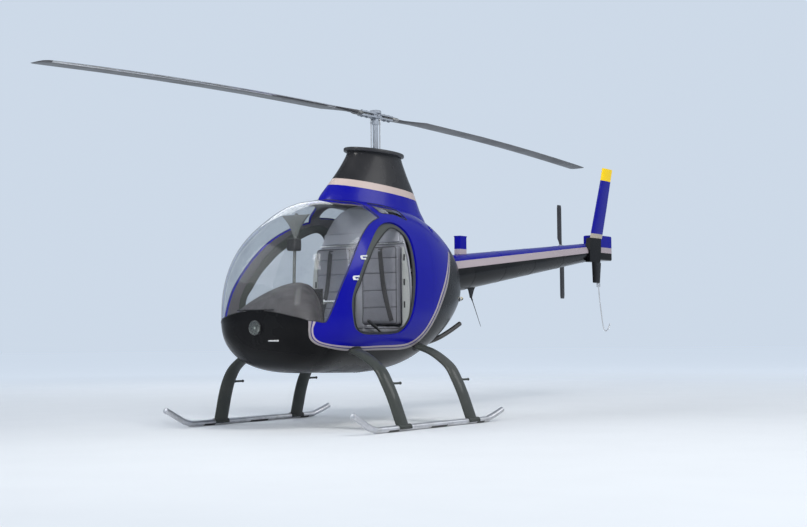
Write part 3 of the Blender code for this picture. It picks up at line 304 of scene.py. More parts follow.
def make_brushed():
    """Bare metal: drawn scratches along the machine, stains and a changing shine."""
    tree, given, end = new_group("brushed", ("Base", "Stain"), ("Gloss", "Matt"))
    place = object_place(tree)
    drawn = node(tree, "ShaderNodeMapping", {"Vector": place, "Scale": (160.0, 6.0, 160.0)}).outputs[0]
    lines = noise(tree, drawn, 1.0, 3.0, 0.7)
    stains = map_range(tree, noise(tree, place, 9.0, 5.0, 0.6), 0.45, 0.75, 0.0, 1.0)
    share = math_node(tree, "MULTIPLY", stains, 0.6)
    fill(tree, end, {"Colour": mix_colour(tree, share, given["Base"], given["Stain"]),
                     "Roughness": map_range(tree, lines, 0.3, 0.7, given["Gloss"], given["Matt"]),
                     "Height": lines})
    return tree


PAINT_SPECULAR = 0.08

GROUPS = {"paint": make_paint_skin(), "grain": make_pebble_grain(), "weave": make_weave(),
          "brushed": make_brushed()}
FINISHES = {}


def rgba(colour):
    return (*colour, 1.0)


def start_finish(name):
    material = bpy.data.materials.new(name)
    material.use_nodes = True
    FINISHES[name] = material
    return material.node_tree, material.node_tree.nodes["Principled BSDF"]


def add_bump(tree, shader, height, strength, distance):
    bump = node(tree, "ShaderNodeBump", {"Strength": strength, "Distance": distance, "Height": height})
    fill(tree, shader, {"Normal": bump.outputs["Normal"]})


def from_group(name, group, given, bump, plain=()):
    """A finish whose colour, shine and relief come from a group. plain holds its other settings."""
    tree, shader = start_finish(name)
    skin = node(tree, "ShaderNodeGroup", given, node_tree=GROUPS[group])
    fill(tree, shader, {"Base Color": skin.outputs["Colour"], **dict(plain)})
    if "Roughness" in skin.outputs:
        fill(tree, shader, {"Roughness": skin.outputs["Roughness"]})
    add_bump(tree, shader, skin.outputs["Height"], *bump)
    return tree, shader, skin


def height_bands(slope, low, high, bands):
    """The colour of level bands that rise aft by slope: (height at the mast, colour above it)."""
    def build(tree):
        direction = (0.0, -slope, 1.0)
        level = node(tree, "ShaderNodeVectorMath", {0: object_place(tree), 1: direction},
                     operation="DOT_PRODUCT").outputs["Value"]
        shift = slope * MAST_Y
        share = map_range(tree, level, low - shift, high - shift, 0.0, 1.0)
        return colour_ramp(tree, share, [((z - low) / (high - low), colour) for z, colour in bands])
    return build


def colour_ramp(tree, share, stops):
    """Sharp bands: each colour holds from its position up to the next."""
    ramp = node(tree, "ShaderNodeValToRGB", {"Fac": share})
    ramp.color_ramp.interpolation = "CONSTANT"
    elements = ramp.color_ramp.elements
    while len(elements) < len(stops):
        elements.new(1.0)
    for element, (position, colour) in zip(elements, stops):
        element.position = position
        element.color = rgba(colour)
    return ramp.outputs["Color"]


def across_bands(stops):
    """The colour of bands along a strip, from the strip's own attribute."""
    def build(tree):
        across = node(tree, "ShaderNodeAttribute", attribute_name="across").outputs["Fac"]
        return colour_ramp(tree, across, stops)
    return build


def paint(name, colour, worn, wear=0.12, gloss=0.16, matt=0.28, coat=0.05, bands=None):
    tree, _, skin = from_group(
        name, "paint",
        {"Base": rgba(colour), "Worn": rgba(worn), "Wear": wear, "Gloss": gloss, "Matt": matt},
        (0.06, 0.0006),
        {"Specular IOR Level": PAINT_SPECULAR, "Coat Weight": coat, "Coat Roughness": 0.06})
    if bands:
        fill(tree, skin, {"Base": bands(tree)})


def grained(name, colour, deep, cell_scale, gloss=0.45, matt=0.65, strength=0.35, crease_shade=None):
    tree, shader, skin = from_group(
        name, "grain",
        {"Base": rgba(colour), "Deep": rgba(deep), "Cell Scale": cell_scale, "Gloss": gloss, "Matt": matt},
        (strength, 0.0008))
    # Painted shade: the cover darkens towards this colour in its sewn creases, by the seam attribute
    if crease_shade:
        seam = node(tree, "ShaderNodeAttribute", attribute_name="seam").outputs["Fac"]
        fill(tree, shader, {"Base Color": mix_colour(tree, seam, skin.outputs["Colour"], rgba(crease_shade))})


def woven(name, thread, gap, thread_scale):
    from_group(name, "weave",
               {"Thread": rgba(thread), "Gap": rgba(gap), "Thread Scale": thread_scale},
               (0.5, 0.001), {"Roughness": 0.9, "Sheen Weight": 0.3})


def metal(name, colour, stain, gloss=0.22, matt=0.42, strength=0.12):
    from_group(name, "brushed",
               {"Base": rgba(colour), "Stain": rgba(stain), "Gloss": gloss, "Matt": matt},
               (strength, 0.0004), {"Metallic": 1.0})


def glass(name, tint, haze, ior, clear, smeared):
    """Clear sheet with faint smears. Light goes through it to what is behind."""
    tree, shader = start_finish(name)
    smears = map_range(tree, noise(tree, object_place(tree), 6.0, 4.0, 0.6), 0.45, 0.70, 0.0, 1.0)
    shadow = node(tree, "ShaderNodeLightPath").outputs["Is Shadow Ray"]
    fill(tree, shader, {"Base Color": mix_colour(tree, smears, rgba(tint), rgba(haze)),
                        "Roughness": map_range(tree, smears, 0.0, 1.0, clear, smeared),
                        "Transmission Weight": 1.0, "IOR": ior,
                        "Alpha": map_range(tree, shadow, 0.0, 1.0, 1.0, 0.12)})


def new_object(name, data):
    obj = bpy.data.objects.new(name, data)
    bpy.context.scene.collection.objects.link(obj)
    return obj


def from_bmesh(name, bm):
    mesh = bpy.data.meshes.new(name)
    bm.to_mesh(mesh)
    bm.free()
    return new_object(name, mesh)


BLUE = (0.003, 0.003, 0.250)
BLACK = (0.0042, 0.0042, 0.0048)
CHARCOAL = (0.032, 0.033, 0.036)
CREAM = (0.490, 0.395, 0.360)
PALE = (0.390, 0.330, 0.350)
GREY_LINE = (0.270, 0.245, 0.250)
DUST = (0.180, 0.170, 0.160)
YELLOW = (0.950, 0.640, 0.010)
BEIGE = (0.420, 0.370, 0.300)
FAIRING_BLACK = (0.020, 0.020, 0.022)


def make_finishes():
    """Every finish of the machine, under a plain name."""
    paint("blue_gloss", BLUE, (0.022, 0.020, 0.290))
    paint("black_gloss", BLACK, (0.016, 0.016, 0.017), wear=0.35, gloss=0.20, matt=0.34)
    paint("charcoal_satin", CHARCOAL, DUST, wear=0.10, gloss=0.34, matt=0.5, coat=0.1)
    paint("yellow_gloss", YELLOW, (0.75, 0.45, 0.02))
    paint("leg_satin", (0.044, 0.049, 0.045), DUST, wear=0.16, gloss=0.34, matt=0.5, coat=0.15)
    paint("jamb_satin", (0.060, 0.066, 0.062), DUST, wear=0.15, gloss=0.35, matt=0.5,
          coat=0.1)
    paint("liner_satin", (0.115, 0.112, 0.120), DUST, wear=0.15, gloss=0.5, matt=0.65, coat=0.0)
    paint("white_gloss", (0.62, 0.63, 0.64), (0.45, 0.43, 0.40), wear=0.15)
    paint("rotor_enamel", (0.27, 0.30, 0.345), (0.18, 0.17, 0.165), wear=0.3, gloss=0.3,
          matt=0.45)
    paint("blade_satin", (0.050, 0.050, 0.054), DUST, wear=0.14, gloss=0.3, matt=0.45,
          coat=0.15)
    paint("side_stripe", PALE, DUST, wear=0.10, bands=across_bands(
        ((0.0, GREY_LINE), (0.38, (0.035, 0.030, 0.150)), (0.58, PALE), (0.90, BLUE))))
    for name, gloss, matt, *bands in (
            ("fairing_gloss", 0.2, 0.32, -0.048, 1.6, 2.4, ((1.6, BLUE), (1.990, CREAM),
                                                            (2.051, FAIRING_BLACK))),
            ("boom_gloss", 0.2, 0.32, 0.096, 0.9, 1.6, ((0.9, BLACK), (1.261, PALE), (1.331, BLUE))),
            ("housing_gloss", 0.16, 0.28, 0.0, 1.5, 1.9, ((1.5, BLACK), (1.662, PALE), (1.722, BLUE))),
            ("boom_box_gloss", 0.16, 0.28, 0.0, 1.2, 1.8, ((1.2, PALE), (1.572, BLUE))),
            ("fin_gloss", 0.16, 0.28, 0.0, 1.7, 2.6, ((1.7, BEIGE), (1.862, BLUE)))):
        paint(name, BLUE, DUST, wear=0.05, gloss=gloss, matt=matt, bands=height_bands(*bands))
    paint("bulkhead_satin", (0.300, 0.307, 0.340), DUST, wear=0.15, gloss=0.5, matt=0.65,
          coat=0.0)
    paint("post_satin", (0.105, 0.111, 0.108), DUST, wear=0.15, gloss=0.4, matt=0.55, coat=0.0)
    grained("console_vinyl", (0.052, 0.048, 0.050), (0.034, 0.031, 0.033), 420.0)
    grained("side_vinyl", (0.330, 0.340, 0.330), (0.250, 0.258, 0.250), 520.0)
    grained("trim_plastic", (0.105, 0.103, 0.110), (0.060, 0.060, 0.064), 600.0)
    grained("panel_crackle", (0.030, 0.030, 0.032), (0.015, 0.015, 0.016), 900.0)
    # The last colour is painted shade in the cover's sewn creases
    grained("seat_vinyl", (0.165, 0.168, 0.190), (0.116, 0.118, 0.133), 520.0,
            crease_shade=(0.020, 0.020, 0.022))
    grained("black_rubber", (0.016, 0.016, 0.017), (0.008, 0.008, 0.009), 700.0,
            gloss=0.55, matt=0.75)
    grained("dial_black", (0.010, 0.010, 0.010), (0.006, 0.006, 0.006), 1500.0,
            strength=0.05)
    woven("carpet", (0.075, 0.073, 0.078), (0.030, 0.030, 0.033), 330.0)
    woven("belt_webbing", (0.030, 0.030, 0.032), (0.012, 0.012, 0.013), 500.0)
    metal("bright_metal", (0.72, 0.72, 0.73), (0.45, 0.43, 0.40))
    metal("skid_metal", (0.66, 0.66, 0.68), (0.36, 0.35, 0.34), gloss=0.3, matt=0.5)
    metal("dark_steel", (0.100, 0.097, 0.094), (0.050, 0.040, 0.033), gloss=0.35, matt=0.6)
    metal("cast_alloy", (0.34, 0.34, 0.33), (0.16, 0.15, 0.13), gloss=0.4, matt=0.6,
          strength=0.3)
    glass("window_clear", (0.93, 0.95, 0.96), (0.86, 0.88, 0.90), 1.18, 0.01, 0.04)
    glass("lamp_glass", (0.86, 0.90, 0.88), (0.78, 0.82, 0.80), 1.45, 0.15, 0.30)
    glass("amber_glass", (0.95, 0.80, 0.45), (0.90, 0.70, 0.35), 1.45, 0.01, 0.04)


make_finishes()


# Shapes

def add_mesh(name, bm):
    """A new object from a bmesh, closed up and facing outwards."""
    bmesh.ops.remove_doubles(bm, verts=bm.verts, dist=1e-6)
    bmesh.ops.dissolve_degenerate(bm, edges=bm.edges, dist=1e-7)
    bmesh.ops.recalc_face_normals(bm, faces=bm.faces)
    return from_bmesh(name, bm)


def points_and_faces(obj):
    return [vert.co.copy() for vert in obj.data.vertices], [tuple(p.vertices) for p in obj.data.polygons]


def from_lists(name, points, faces, edges=()):
    mesh = bpy.data.meshes.new(name)
    mesh.from_pydata([tuple(point) for point in points], edges, faces)
    return new_object(name, mesh)


def smooth_points(points, steps=4, closed=False):
    """A Catmull-Rom curve through the points, with steps points for each stretch."""
    points = [np.array(point, float) for point in points]
    count = len(points)
    found = []
    for k in range(count if closed else count - 1):
        p0, p1, p2, p3 = (points[j % count if closed else min(max(j, 0), count - 1)]
                          for j in range(k - 1, k + 3))
        for t in np.arange(steps) / steps:
            found.append(0.5 * (2 * p1 + (p2 - p0) * t + (2 * p0 - 5 * p1 + 4 * p2 - p3) * t * t
                                + (3 * p1 - p0 - 3 * p2 + p3) * t ** 3))
    return [tuple(point) for point in (found if closed else found + points[-1:])]


def circle(count, shift=0.0):
    """Even points round a circle of radius one, the first of them shift steps on from the start."""
    angles = [2 * math.pi * (k + shift) / count for k in range(count)]
    return [(math.cos(angle), math.sin(angle)) for angle in angles]


def even_points(path, spacing, closed=False):
    """Points at an even spacing along a path."""
    points = np.array([tuple(point) for point in path], float)
    if closed:
        points = np.vstack([points, points[:1]])
    lengths = np.linalg.norm(np.diff(points, axis=0), axis=1)
    distance = np.concatenate([[0.0], np.cumsum(lengths)])
    count = max(2, int(round(distance[-1] / spacing)) + 1)
    wanted = np.linspace(0.0, distance[-1], count)
    if closed:
        wanted = wanted[:-1]
    return [Vector([np.interp(s, distance, points[:, k]) for k in range(points.shape[1])]) for s in wanted]


def shrink(line, distance):
    """The closed outline moved inwards by distance, or outwards if it is negative."""
    points = np.array(line, float)
    before = points - np.roll(points, 1, axis=0)
    after = np.roll(points, -1, axis=0) - points
    area = np.sum(points[:, 0] * np.roll(points[:, 1], -1) - np.roll(points[:, 0], -1) * points[:, 1])
    turn = 1.0 if area > 0 else -1.0
    moved = []
    for point, one, two in zip(points, before, after):
        normal_one = turn * np.array((-one[1], one[0])) / np.linalg.norm(one)
        normal_two = turn * np.array((-two[1], two[0])) / np.linalg.norm(two)
        middle = normal_one + normal_two
        moved.append(tuple(point + distance * middle / max(0.5, 1 + float(normal_one @ normal_two))))
    return moved


def join_rings(bm, rings, loop=False):
    grid = [[bm.verts.new(point) for point in ring] for ring in rings]
    if loop:
        grid.append(grid[0])
    for low, high in zip(grid, grid[1:]):
        count = len(low)
        for k in range(count):
            bm.faces.new((low[k], low[(k + 1) % count], high[(k + 1) % count], high[k]))
    return grid


def loft(name, rings, ends=True, loop=False):
    """A skin over rings that have the same number of points. loop joins the last ring to the first."""
    bm = bmesh.new()
    grid = join_rings(bm, rings, loop)
    if ends and not loop:
        bm.faces.new(grid[0])
        bm.faces.new(grid[-1])
    return add_mesh(name, bm)


def sweep(name, path, sizes, sides=16, up=UP, dome=0.0, closed=False):
    """A bar along a path. sizes is a radius, a pair (across, towards up), or a list of pairs, one for
    each point. dome is how far its ends are rounded."""
    path = [Vector(point) for point in path]
    count = len(path)
    if not isinstance(sizes, list):
        sizes = [sizes if isinstance(sizes, tuple) else (sizes, sizes)] * count
    upward = Vector(up)
    frames = []
    for k, (point, size) in enumerate(zip(path, sizes)):
        before, after = (path[j % count if closed else min(max(j, 0), count - 1)] for j in (k - 1, k + 1))
        along = (after - before).normalized()
        across = along.cross(upward).normalized()
        upward = across.cross(along)
        frames.append((point, along, across, upward, size))
    if dome:
        frames = ([domed(frames[0], -dome, angle) for angle in DOME_ANGLES] + frames
                  + [domed(frames[-1], dome, angle) for angle in DOME_ANGLES[::-1]])
    rings = [[point + across * wide * c + upward * tall * s for c, s in circle(sides)]
             for point, _, across, upward, (wide, tall) in frames]
    return loft(name, rings, loop=closed)


DOME_ANGLES = (math.radians(90), math.radians(60), math.radians(30))


def domed(end, reach, angle):
    """A bar's ring beyond its end, smaller by the angle."""
    point, along, across, upward, (wide, tall) = end
    share = max(0.02, math.cos(angle))
    return point + along * reach * math.sin(angle), along, across, upward, (wide * share, tall * share)


def revolve(name, profile, start, direction, sides=48):
    """A turned piece: profile holds (distance along, radius) from the start, in the direction."""
    start = Vector(start)
    along = Vector(direction).normalized()
    side = PORT if abs(along.x) < 0.9 else AFT
    across = along.cross(side).normalized()
    upward = across.cross(along)
    return loft(name, [[start + along * distance + across * radius * c + upward * radius * s
                        for c, s in circle(sides)] for distance, radius in profile])


def evaluated_mesh(obj):
    bpy.context.view_layer.update()
    return bpy.data.meshes.new_from_object(obj.evaluated_get(bpy.context.evaluated_depsgraph_get()))


def rod(name, start, end, radius, sides=24, edge=0.15):
    """A round bar with softened ends."""
    length = (Vector(end) - Vector(start)).length
    soft = min(radius * edge, length / 3)
    profile = ((0, radius - soft), (soft, radius), (length - soft, radius), (length, radius - soft))
    return revolve(name, profile, start, Vector(end) - Vector(start), sides)


def box(name, low, high, bevel=0.0, segments=3):
    bm = bmesh.new()
    bmesh.ops.create_cube(bm, size=1.0)
    size = Vector(high) - Vector(low)
    bmesh.ops.scale(bm, vec=size, verts=bm.verts)
    bmesh.ops.translate(bm, vec=Vector(low) + size / 2, verts=bm.verts)
    if bevel:
        bmesh.ops.bevel(bm, geom=bm.edges, offset=bevel, segments=segments, affect="EDGES", profile=0.5)
    return add_mesh(name, bm)


def prism(name, line, low, high, axis="x"):
    """An outline pulled along an axis: (station, z) along x, (x, z) along y, (x, station) along z."""
    places = {"x": lambda a, b, c: (c, a, b), "y": lambda a, b, c: (a, c, b), "z": lambda a, b, c: (a, b, c)}
    return loft(name, [[places[axis](a, b, c) for a, b in line] for c in (low, high)])


def combine(obj, other, operation):
    """Cuts obj by the other solid, or trims it to it. The other is used up."""
    modifier = obj.modifiers.new("combine", "BOOLEAN")
    modifier.operation = operation
    modifier.object = other
    modifier.solver = "EXACT"
    apply_modifiers(obj)
    bpy.data.objects.remove(other, do_unlink=True)


def cut(obj, other):
    combine(obj, other, "DIFFERENCE")


def join_meshes(name, objects):
    """One object that holds the meshes of several, as separate shells."""
    bm = bmesh.new()
    for obj in objects:
        bm.from_mesh(obj.data)
        bpy.data.objects.remove(obj, do_unlink=True)
    return from_bmesh(name, bm)


def moved_copy(obj, name, matrix=Matrix()):
    copy = new_object(name, obj.data.copy())
    copy.data.transform(matrix)
    if matrix.determinant() < 0:
        copy.data.flip_normals()
    return copy


def weigh_normals(obj):
    """Large faces keep flat shading where a bevel meets them."""
    modifier = obj.modifiers.new("weigh", "WEIGHTED_NORMAL")
    modifier.keep_sharp = True
    apply_modifiers(obj)


def dress(obj, finish, body="airframe", replaces=(), smooth=True):
    """A finished piece: moved into the frame, with its finish, riding on its body."""
    obj.data.transform(Matrix.Translation(INTO_FRAME))
    if not obj.data.materials:
        obj.data.materials.append(FINISHES[finish])
    if smooth:
        obj.data.shade_smooth()
        obj.data.set_sharp_from_angle(angle=SMOOTH_ANGLE)
        weigh_normals(obj)
    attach(obj, body)
    if replaces:
        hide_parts(*replaces)
    return obj


def box_of(name):
    """A solid's lowest and highest corners, by station."""
    low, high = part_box(name)
    return low - INTO_FRAME, high - INTO_FRAME


def repaint(name, finish):
    """A solid that stays, with the finish of the real piece."""
    obj = frame["nodes"][name]
    obj.data.materials.clear()
    obj.data.materials.append(FINISHES[finish])


# The pod's skin

def body_solid(name, offset=0.0):
    """The pod's outside, moved outwards by offset."""
    rings = []
    for y, half_width, low, widest, high in smooth_points(BODY_SECTIONS, BODY_STEPS)[1:-1]:
        ring = []
        for c, s in circle(BODY_SIDES):
            power = 2 / (UPPER_POWER if s >= 0 else LOWER_POWER)
            height = high - widest if s >= 0 else widest - low
            ring.append((half_width * math.copysign(abs(c) ** power, c), y,
                         widest + height * math.copysign(abs(s) ** power, s)))
        rings.append(ring)
    bm = bmesh.new()
    grid = join_rings(bm, rings)
    for (y, _, _, z, _), ring in ((BODY_SECTIONS[0], grid[0]), (BODY_SECTIONS[-1], grid[-1])):
        pole = bm.verts.new((0.0, y, z))
        for k in range(BODY_SIDES):
            bm.faces.new((pole, ring[k], ring[(k + 1) % BODY_SIDES]))
    bmesh.ops.triangulate(bm, faces=bm.faces, quad_method="FIXED")
    bmesh.ops.recalc_face_normals(bm, faces=bm.faces)
    bm.normal_update()
    moved = [(vert, vert.co + vert.normal * offset) for vert in bm.verts]
    for vert, place in moved:
        vert.co = place
    return add_mesh(name, bm)


HALF_SPAN = 0.8             # more than the pod's half width


def slab(line):
    """A side-view outline as a solid that is wider than the pod."""
    return prism("slab", line, -HALF_SPAN, HALF_SPAN)


def make_skin():
    """The pod's skin as an object, a search tree, and its corners' normals."""
    skin = body_solid("skin")
    for name in ("kept", "cutter"):
        skin.data.materials.append(bpy.data.materials.new(name))
    points, faces = points_and_faces(skin)
    normals = [vert.normal.copy() for vert in skin.data.vertices]
    return skin, BVHTree.FromPolygons(points, faces), points, faces, normals


SKIN, SKIN_TREE, SKIN_POINTS, SKIN_FACES, SKIN_NORMALS = make_skin()


def skin_normal(point):
    """The smooth normal of the skin nearest to a point."""
    place, _, index, _ = SKIN_TREE.find_nearest(point)
    corners = SKIN_FACES[index]
    weights = poly_3d_calc([SKIN_POINTS[i] for i in corners], place)
    return sum((SKIN_NORMALS[i] * w for i, w in zip(corners, weights)), Vector()).normalized()


def skin_hit(start, direction):
    """(place, normal) where a ray meets the skin, or None."""
    place, _, _, _ = SKIN_TREE.ray_cast(Vector(start), Vector(direction))
    return None if place is None else (place, skin_normal(place))


def side_hit(sign, station, z):
    return skin_hit((sign * 2.0, station, z), (-sign, 0, 0))


def skin_patch(region, holes=()):
    """The part of the skin inside a solid, less its holes, as (points, faces)."""
    patch = moved_copy(SKIN, "patch")
    for cutter, operation in [(region, "INTERSECT")] + [(hole, "DIFFERENCE") for hole in holes]:
        for material in SKIN.data.materials:
            cutter.data.materials.append(material)
        for polygon in cutter.data.polygons:
            polygon.material_index = 1
        combine(patch, cutter, operation)
    points, faces = points_and_faces(patch)
    faces = [face for face, p in zip(faces, patch.data.polygons) if p.material_index == 0]
    bpy.data.objects.remove(patch, do_unlink=True)
    return only_used(points, faces)


def only_used(points, faces):
    """A patch without the points that no face uses."""
    used = sorted({i for face in faces for i in face})
    place_of = {old: new for new, old in enumerate(used)}
    return [points[i] for i in used], [tuple(place_of[i] for i in face) for face in faces]


def border_edges(faces):
    edges = {(a, b) for face in faces for a, b in zip(face, face[1:] + face[:1])}
    return [(a, b) for a, b in edges if (b, a) not in edges]


def border_loops(patch):
    """The patch's borders as closed lists of points, each with the patch on its left."""
    points, faces = patch
    following = dict(border_edges(faces))
    loops = []
    while following:
        start, at = following.popitem()
        loop = [start]
        while at != start and at in following:
            loop.append(at)
            at = following.pop(at)
        loops.append([points[i] for i in loop])
    return sorted(loops, key=len, reverse=True)


def thick_patch(name, patch, depths, finish, inner_finish=None, replaces=(), extra=None):
    """A panel as thick as the space between two depths under the skin, shaded as the skin is."""
    points, faces = patch
    count = len(points)
    normals = [skin_normal(point) for point in points]
    places = [p + n * depth for depth in depths for p, n in zip(points, normals)]
    rims = [(b, a, a + count, b + count) for a, b in border_edges(faces)]
    backs = [tuple(i + count for i in reversed(face)) for face in faces]
    obj = from_lists(name, places, faces + backs + rims)
    for kind in (finish, inner_finish or finish):
        obj.data.materials.append(FINISHES[kind])
    obj.data.shade_smooth()
    obj.data.polygons.foreach_set("material_index", [0] * len(faces) + [1] * len(backs) + [0] * len(rims))
    directions = [normals[i] for face in faces for i in face]
    directions += [-normals[i - count] for face in backs for i in face]
    directions += [rim.normal for rim in obj.data.polygons[len(faces + backs):] for _ in rim.vertices]
    obj.data.normals_split_custom_set([tuple(direction) for direction in directions])
    if extra:
        attribute = obj.data.attributes.new(extra[0], "FLOAT", "POINT")
        values = [extra[1](point) for point in points]
        attribute.data.foreach_set("value", np.array(values * 2, np.float32))
    return dress(obj, finish, replaces=replaces, smooth=False)


ROWS = {}


def add_row(kind, loop, body="airframe"):
    """Keeps a row of (place, outward) for the fasteners that are made at the end."""
    ROWS.setdefault((kind, body), []).append(loop)


def inset_row(loop, inset, spacing=0.012):
    """A row that follows a patch's border at a distance inside it."""
    path = even_points(loop, spacing, closed=True)
    count = len(path)
    row = []
    for k, point in enumerate(path):
        along = (path[(k + 2) % count] - path[(k - 2) % count]).normalized()
        normal = skin_normal(point)
        place, _, _, _ = SKIN_TREE.find_nearest(point + normal.cross(along) * inset)
        row.append((place, skin_normal(place)))
    return row + row[:1]


def line_distance(point, line):
    """The shortest distance in the side view from a point to a line of (station, z)."""
    at = np.array((point.y, point.z))
    starts, ends = line[:-1], line[1:]
    way = ends - starts
    share = np.clip(((at - starts) * way).sum(1) / (way * way).sum(1), 0.0, 1.0)
    return float(np.linalg.norm(starts + way * share[:, None] - at, axis=1).min())


STRIPE_OUTER = np.array([(-1.554, 0.866)] + smooth_points(STRIPE_FRONT_LINE + STRIPE_REAR_LINE[:-3]))
STRIPE_INNER = np.array(smooth_points(STRIPE_INNER_LINE))


def add_seal(name, loop, depth, radius):
    """A rubber strip round a patch's border, let into the skin by depth."""
    path = [point + skin_normal(point) * depth for point in even_points(loop, 0.010, closed=True)]
    strip = sweep(name, path, radius, sides=8, up=skin_normal(path[0]), closed=True)
    dress(strip, "black_rubber")


STRIPE_DEPTHS = (0.0007, 0.0001)


def stripe_share(point):
    outer = line_distance(point, STRIPE_OUTER)
    inner = line_distance(point, STRIPE_INNER)
    return outer / max(outer + inner, 1e-6)


def panel_regions():
    sill, corner, pillar, front, rear, seam = (smooth_points(line) for line in (
        SILL_LINE, CORNER_LINE, PILLAR_LINE, STRIPE_FRONT_LINE, STRIPE_REAR_LINE, COWL_SEAM_LINE))
    top_z = PILLAR_LINE[-1][1]
    rear_y = STRIPE_REAR_LINE[-1][0]
    meeting = front[-1:]
    below = [(meeting[0][0], LOW_Z)]
    return {
        "nose_belly_shell": sill + front + below + [(SILL_LINE[0][0], LOW_Z)],
        "cabin_frame": sill[-1:] + corner + pillar + seam[::-1] + front[::-1],
        "cowl_upper": meeting + seam + [(rear_y, top_z)] + rear[::-1],
        "cowl_lower": meeting + rear + [(rear_y, LOW_Z)] + below,
        "windshield": sill + corner + pillar + [(FRONT_Y, top_z), (FRONT_Y, SILL_LINE[0][1])],
    }


def boom_solid(name, grow=0.0):
    rings = []
    for (y, z, radius), far in ((BOOM_FRONT, -grow), (BOOM_REAR, grow)):
        rings.append([((radius + grow) * c, y + far, z + (radius + grow) * s)
                      for c, s in circle(BOOM_SIDES, 0.5)])
    return loft(name, rings)


BOOM_ROOM = 0.004           # the gap between a cowl and the boom that goes through it


def window_solid(sign, line):
    return prism("window", [(sign * x, y) for x, y in line], *ROOF_Z, axis="z")


def tail_pipe_path():
    line = ((0.140, 0.300, 0.666), (0.215, 0.400, 0.676), (0.280, 0.520, 0.712), (0.300, 0.700, 0.775),
            (0.305, 0.890, 0.850))
    return smooth_points(line, 6)


LAMP_PLACE = Vector((0.0, -1.664, 0.815))
LAMP_RADIUS = 0.060


def panel_holes(name):
    """What is cut out of each panel."""
    if name == "cabin_frame":
        window = smooth_points(ROOF_WINDOW_LINE, closed=True)
        return [slab(smooth_points(DOORWAY_LINE, closed=True)), window_solid(1, window),
                window_solid(-1, window)]
    if name == "nose_belly_shell":
        return [rod("lamp", LAMP_PLACE - AFT * 0.1, LAMP_PLACE + AFT * 0.1,
                    LAMP_RADIUS + SEAM)]
    if name == "cowl_upper":
        return [boom_solid("boom", BOOM_ROOM)]
    if name == "cowl_lower":
        return [boom_solid("boom", BOOM_ROOM), sweep("pipe", tail_pipe_path(), 0.026, up=PORT),
                box("air", *AIR_OPENING, 0.03)]
    return []


def make_pod():
    """Panels, windows, door frames, seals and the side stripes."""
    patches = {name: skin_patch(slab(shrink(region, SEAM / 2)), panel_holes(name))
               for name, region in panel_regions().items()}
    for name, finish in (("nose_belly_shell", "black_gloss"), ("cabin_frame", "blue_gloss"),
                         ("cowl_upper", "blue_gloss"), ("cowl_lower", "black_gloss")):
        thick_patch(f"{name}_skin", patches[name], (0.0, -WALL), finish, "liner_satin", (name,))
        for loop in border_loops(patches[name]):
            row = inset_row(loop, RIVET_INSET)
            if finish == "blue_gloss":
                add_clear_row("blue_rivets", row)
            else:
                add_row("black_rivets", row)
    make_pane("windshield_sheet", "windshield_seal", "windshield", patches["windshield"])
    make_door_frames()
    window = shrink(smooth_points(ROOF_WINDOW_LINE, closed=True), SEAM)
    for side, sign in SIDES.items():
        make_pane(f"roof_pane_{side}", f"roof_seal_{side}", f"roof_window_{side}",
                  skin_patch(window_solid(sign, window)))
    region = [tuple(p) for p in STRIPE_OUTER] + [tuple(p) for p in STRIPE_INNER[::-1]]
    thick_patch("side_stripe", skin_patch(slab(region)), STRIPE_DEPTHS, "side_stripe",
                extra=("across", stripe_share))


def make_pane(name, seal, solid, patch):
    thick_patch(name, patch, GLASS_DEPTHS, "window_clear", replaces=(solid,))
    add_seal(seal, border_loops(patch)[0], -0.001, SEAL_RADIUS)


STRIPE_ROOM = ((STRIPE_OUTER, 0.055), (STRIPE_INNER, 0.012))
SHORTEST_ROW = 4


def add_clear_row(kind, row):
    """Adds the stretches of a row that lie clear of the side stripe."""
    part = []
    for place, outward in [*row, (None, None)]:
        if place is not None and all(line_distance(place, line) >= room for line, room in STRIPE_ROOM):
            part.append((place, outward))
            continue
        if len(part) >= SHORTEST_ROW:
            add_row(kind, part)
        part = []


def make_door_frames():
    """The flange inside each doorway, that the door closes against, with its rubber seal."""
    doorway = smooth_points(DOORWAY_LINE, closed=True)
    inner = smooth_points(JAMB_LINE, closed=True)
    points, faces = skin_patch(slab(shrink(doorway, -JAMB_OVERLAP)), [slab(inner)])
    for side, sign in SIDES.items():
        patch = only_used(points, [face for face in faces if sign * sum(points[i].x for i in face) > 0])
        thick_patch(f"door_flange_{side}", patch, JAMB_DEPTHS, "jamb_satin",
                    replaces=(f"door_jamb_{side}",))
        add_seal(f"door_seal_{side}", border_loops(patch)[-1], JAMB_DEPTHS[0], 0.006)


# Fasteners, by geometry nodes

FASTENERS = {
    # kind: spacing, radius, height, finish
    "blue_rivets": (0.034, 0.0027, 0.0011, "blue_gloss"),
    "black_rivets": (0.034, 0.0027, 0.0011, "black_gloss"),
    "boom_rivets": (0.022, 0.0024, 0.0010, "boom_gloss"),
    "fairing_rivets": (0.022, 0.0024, 0.0010, "fairing_gloss"),
}


